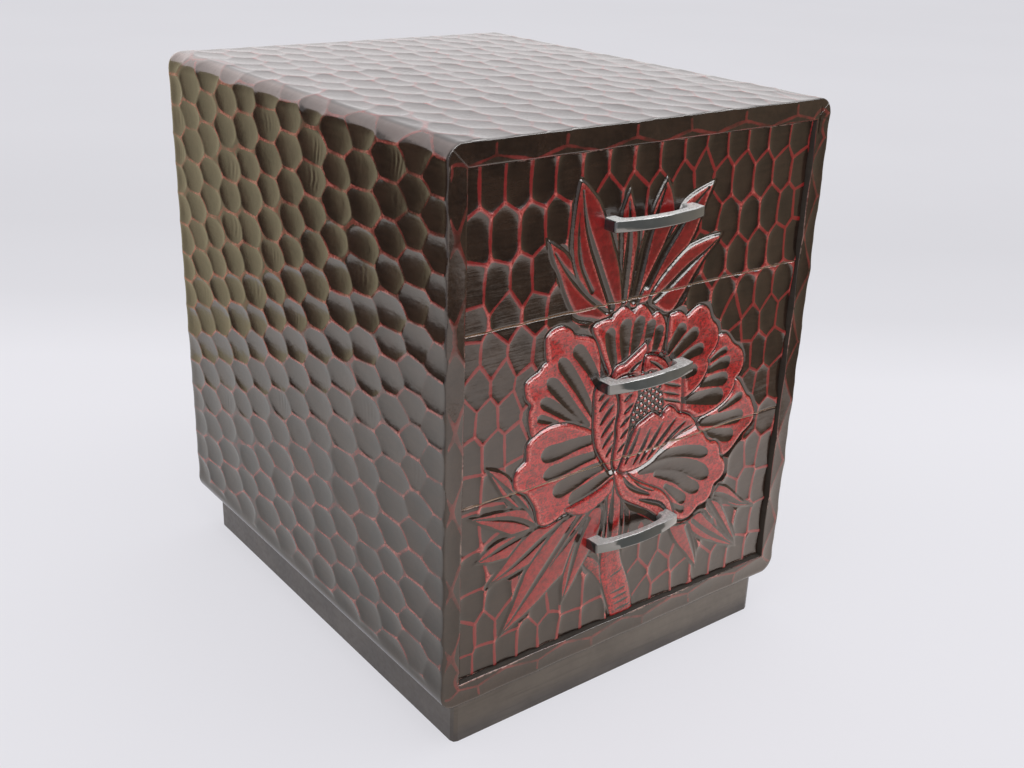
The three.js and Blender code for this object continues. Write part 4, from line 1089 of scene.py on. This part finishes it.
def handle_mesh(name, hx, hz, painted_top_light, lean):
    """A cast bow: thick at the middle, falling to two feet that go into the front."""
    ax = [a[0] for a in ARCH]
    ay = [a[1] for a in ARCH]
    xs = list(np.concatenate([[-25.2, -25.12, -24.95, -24.7, -24.4], np.arange(-24.0, -18.9, 0.6), [-18.82]]))
    mid = list(np.arange(-18.78, 18.8, 0.6264))
    xs = [(x, True) for x in xs] + [(x, False) for x in mid] + [(-x, True) for x in xs[::-1]]
    rings = []
    for x, foot in xs:
        a = abs(x)
        end = max(0.0, a - 24.4) / 0.8
        cut = 0.55 * (1 - math.sqrt(max(0.0, 1 - end * end)))
        yo = -(10.2 - 4 * (a / 25.2) ** 2) + cut
        yi = 2.3 if foot else float(np.interp(a, ax, ay))
        hh = 2.4 - cut * 0.9
        wave = 0.05 * math.sin(x * 0.31 + hx) + 0.03 * math.sin(x * 0.83 + 2 * hx)
        # section seen from the left, front to the left: in the middle the front face leans back and the top is narrow
        le = 0.25 + lean * float(smooth(21.0, 8.0, a)) + wave
        at_ = lambda q: yo + le * q          # the leaning face, q = 0 at its foot, 1 at its head
        profile = [(yi, -hh + 0.3), (yi, hh - 0.3), (yi - 0.3, hh - 0.02), (at_(1) + 0.30, hh), (at_(1) + 0.12, hh - 0.05), (at_(1), hh - 0.17),
                   (at_(0.93), hh - 0.45), (at_(0.5), 0.2), (yo, -hh + 0.75), (yo + 0.12, -hh + 0.36), (yo + 0.42, -hh + 0.08), (yo + 0.8, -hh), (yi - 0.3, -hh)]
        rings.append([(x, a_, b_) for a_, b_ in profile])
    n = len(rings[0])
    v = [(hx + p[0], YD + p[1], hz + p[2]) for ring in rings for p in ring]
    f = []
    for i in range(len(rings) - 1):
        for j in range(n):
            k = (j + 1) % n
            f.append([i * n + j, i * n + k, (i + 1) * n + k, (i + 1) * n + j])
    f.append(list(range(n)))
    f.append([(len(rings) - 1) * n + j for j in range(n)][::-1])
    ob = outward(new_object(name, new_mesh(name, v, f)))
    # painted highlight: the upper face is painted light grey for the overhead light on it; painted reflection: the
    # front face is a little greyer than the ends, for the reflection it shows
    inner_ = [1.0 if 3 < i < len(rings) - 4 else 0.0 for i in range(len(rings)) for j in range(n)]
    put_attribute(ob.data, "painted_top_light", [q * (painted_top_light if 1 <= k % n <= 4 else 0.12 * painted_top_light if k % n == 5 else 0.0) for k, q in enumerate(inner_)])
    put_attribute(ob.data, "front", [q * (1.0 if 5 <= k % n <= 8 else 0.0) for k, q in enumerate(inner_)])
    return ob


# the third value is how strongly each handle's upper face is painted light
for key, (hx, hz, painted_top_light, lean) in {"top": (-2.0, 228.3, 1.0, 0.62), "middle": (0.3, 157.4, 0.72, 1.35), "bottom": (-0.5, 80.5, 0.60, 1.35)}.items():
    ob = handle_mesh(key + "_handle_bow", hx, hz, painted_top_light, lean)
    ob.data.materials.append(M_BLACK)
    finish_mesh(ob.data, 35)
    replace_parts(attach(ob, key + "_drawer"), key + "_drawer_handle")

# ---------------------------------------------------------------- the other boards keep their CAD shape, with eased arrises
def carry(node, mat, width=0.35, segments=2, angle=40):
    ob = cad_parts[node]
    ob.data.materials.clear()
    ob.data.materials.append(mat)
    if width:
        m = ob.modifiers.new("eased_edges", "BEVEL")
        m.width = width * 0.001
        m.segments = segments
        m.limit_method = "ANGLE"
        m.angle_limit = math.radians(angle)
        m.harden_normals = False
    return ob


for node in ("plinth_front", "plinth_back"):
    carry(node, M_PLAIN, 0.5, 3)
for node in ("plinth_left", "plinth_right"):
    carry(node, M_PLAIN_Y, 0.5, 3)
carry("back_panel", M_PLAIN, 0.3)
for node in ("upper_drawer_shelf", "lower_drawer_shelf"):
    carry(node, M_WOOD_X, 0.3)
for key in FRONTS:
    for end in ("left_side", "right_side"):
        carry(f"{key}_drawer_{end}", M_WOOD_Y, 0.4)
    carry(f"{key}_drawer_back", M_WOOD_X, 0.4)
    carry(f"{key}_drawer_bottom", M_PLY, 0.2, 1)
    for end in ("left", "right"):
        carry(f"{key}_drawer_handle_screw_{end}", M_STEEL, 0.1, 1, 30)


# ---------------------------------------------------------------- floor, light, camera
def plane_object(name, corners, mat):
    me = bpy.data.meshes.new(name)
    me.from_pydata(corners, [], [tuple(range(len(corners)))])
    me.update()
    ob = bpy.data.objects.new(name, me)
    bpy.context.scene.collection.objects.link(ob)
    me.materials.append(mat)
    return ob


# painted light: the floor glows to lighten the chest's shadow on it, and its glow rises and falls with distance from
# the viewer as painted light and shade
t = Tree("floor_pale")
v = t.coords((1, 1, 1))
away = t.add("ShaderNodeSeparateXYZ", {"Vector": t.coords((1, 1, 1), (0, 0, math.radians(37.993)), (0.0, 0.581, 0))}).outputs["Y"]      # metres from the viewer, over the floor
tone = t.ramp(t.span(away, 0.4, 2.4, kind="LINEAR"), [((d_ - 0.4) / 2.0, (e_, 0.99 * e_, 1.045 * e_)) for d_, e_ in
                                                     ((0.4, 0.585), (0.66, 0.59), (0.78, 0.605), (0.87, 0.60), (1.02, 0.515), (1.25, 0.485), (1.7, 0.515), (2.4, 0.53))])
t.surface(Base_Color=t.mix(t.span(t.noise(v, 2.2, 3.0, 0.5), 0.3, 0.7), (0.225, 0.225, 0.235), (0.235, 0.235, 0.245)),
          Roughness=1.0, Specular_IOR_Level=0.0, Emission_Color=tone, Emission_Strength=1.0)
plane_object("floor", [(-12, -12, 0), (12, -12, 0), (12, 12, 0), (-12, 12, 0)], t.mat)


def glow(name, strength, turn, stops):
    """Light whose colour goes through stops (place in metres along x turned by turn radians over the floor, colour)."""
    t = Tree(name)
    e = t.add("ShaderNodeEmission", {"Strength": strength})
    out = next(n for n in t.nt.nodes if n.type == "OUTPUT_MATERIAL")
    t.nt.nodes.remove(t.bsdf)
    t.nt.links.new(e.outputs[0], out.inputs["Surface"])
    if len(stops) == 1:
        e.inputs["Color"].default_value = (*stops[0][1], 1.0)
        return t.mat
    lo_, hi_ = stops[0][0], stops[-1][0]
    place = t.add("ShaderNodeSeparateXYZ", {"Vector": t.coords((1, 1, 1), (0, 0, turn))}).outputs["X"]
    t.put(e.inputs["Color"], t.ramp(t.span(place, lo_, hi_, kind="LINEAR"), [((q - lo_) / (hi_ - lo_), c) for q, c in stops]))
    return t.mat


def card(name, corners, strength, stops, turn=0.0):
    """A softly lit surface that only the gloss of the chest sees."""
    ob = plane_object(name, corners, glow(name + "_glow", strength, turn, stops))
    ob.visible_camera = ob.visible_diffuse = ob.visible_transmission = ob.visible_volume_scatter = ob.visible_shadow = False
    return ob


card("card_left", [(-0.112, 0.439, -0.01), (-1.5, 0.001, -0.01), (-1.5, 0.001, 0.33), (-0.112, 0.439, 0.33)], 1.0,
     [(-0.62, (0.06, 0.045, 0.035)), (-0.45, (0.075, 0.056, 0.040)), (-0.395, (0.09, 0.068, 0.046)), (-0.338, (0.25, 0.195, 0.125)), (-0.307, (0.50, 0.42, 0.27)),
      (-0.282, (0.84, 0.73, 0.47)), (-0.258, (0.86, 0.75, 0.49)), (-0.2, (0.88, 0.77, 0.50))])
card("card_floor_left", [(-0.112, -0.30, 0.0006), (-0.112, 0.43, 0.0006), (-0.62, 0.275, 0.0006), (-0.62, -0.30, 0.0006)], 1.0,
     [(-0.62, (1.26, 1.20, 1.15)), (-0.29, (1.26, 1.20, 1.15)), (-0.22, (1.06, 1.02, 0.99)), (-0.17, (0.92, 0.91, 0.90)), (-0.12, (0.76, 0.75, 0.74))])
card("card_right", [(0.531, -0.10, -0.01), (-0.029, -1.5, -0.01), (-0.029, -1.5, 0.34), (0.531, -0.10, 0.34)], 1.0,
     [(0.28, (0.095, 0.075, 0.055)), (0.33, (0.12, 0.095, 0.065)), (0.375, (0.27, 0.215, 0.15)), (0.42, (0.46, 0.37, 0.26)), (0.50, (0.54, 0.44, 0.32))])
card("card_floor_front", [(-0.30, -0.121, 0.0006), (0.523, -0.121, 0.0006), (0.331, -0.60, 0.0006), (0.10, -1.10, 0.0006), (-0.30, -1.10, 0.0006)], 1.0,
     [(0.0, (1.14, 1.01, 0.90)), (0.06, (1.34, 1.20, 1.08)), (0.15, (1.70, 1.53, 1.40)), (0.215, (1.86, 1.66, 1.54)), (0.345, (1.76, 1.56, 1.44)), (0.378, (1.42, 1.24, 1.12)),
      (0.402, (0.75, 0.62, 0.50)), (0.43, (0.32, 0.25, 0.18)), (0.53, (0.22, 0.165, 0.11))], math.radians(21.80))
card("card_behind", [(-1.2, 1.6, -0.01), (2.2, 1.2, -0.01), (2.2, 1.2, 2.5), (-1.2, 1.6, 2.5)], 1.0,
     [(-1.2, (2.3, 2.02, 1.98)), (0.12, (2.2, 1.95, 1.92)), (0.42, (1.30, 1.25, 1.26)), (2.2, (1.28, 1.25, 1.26))])
card("lamp_front", [(-0.75, -1.42, 0.62), (1.25, -1.06, 0.62), (1.25, -0.94, 1.32), (-0.75, -1.30, 1.32)], 12.0, [(0, (1.0, 0.98, 0.97))])
card("lamp_over", [(-1.0, -0.55, 1.7), (2.4, -0.55, 1.7), (2.4, 0.6, 1.7), (-1.0, 0.6, 1.7)], 4.2, [(0, (1.0, 0.99, 1.0))])

world = bpy.data.worlds.new("pale_room")
bpy.context.scene.world = world
world.use_nodes = True
bg = next(n for n in world.node_tree.nodes if n.type == "BACKGROUND")
bg.inputs["Color"].default_value = (0.985, 0.985, 1.0, 1.0)
bg.inputs["Strength"].default_value = 0.72


def area(name, place, aim, size, power, colour=(1, 1, 1)):
    data = bpy.data.lights.new(name, "AREA")
    data.shape = "RECTANGLE"
    data.size, data.size_y = size
    data.energy = power
    data.color = colour
    ob = bpy.data.objects.new(name, data)
    bpy.context.scene.collection.objects.link(ob)
    ob.location = place
    ob.rotation_euler = (Vector(aim) - Vector(place)).to_track_quat("-Z", "Y").to_euler()
    ob.visible_glossy = False
    return ob


area("overhead_soft", (0.2, -0.4, 2.2), (0, 0, 0.1), (2.2, 1.8), 16, (1.0, 0.99, 0.98))

azimuth, elevation, roll = math.radians(-37.993), math.radians(23.010), math.radians(1.996)
back_ = Vector((math.sin(azimuth) * math.cos(elevation), -math.cos(azimuth) * math.cos(elevation), math.sin(elevation)))
right_ = (-back_).cross(Vector((0, 0, 1))).normalized()
up_ = right_.cross(-back_)
r2 = right_ * math.cos(roll) + up_ * math.sin(roll)
u2 = -right_ * math.sin(roll) + up_ * math.cos(roll)
cam_data = bpy.data.cameras.new("camera")
cam_data.sensor_width = 36.0
cam_data.lens = 42.626
cam_data.clip_start, cam_data.clip_end = 0.02, 60.0
camera = bpy.data.objects.new("camera", cam_data)
bpy.context.scene.collection.objects.link(camera)
camera.matrix_world = Matrix(((r2.x, u2.x, back_.x, -0.34508), (r2.y, u2.y, back_.y, -0.46833), (r2.z, u2.z, back_.z, 0.35784), (0, 0, 0, 1)))
bpy.context.scene.camera = camera
bpy.context.scene.view_settings.view_transform = "Standard"
bpy.context.scene.view_settings.look = "None"
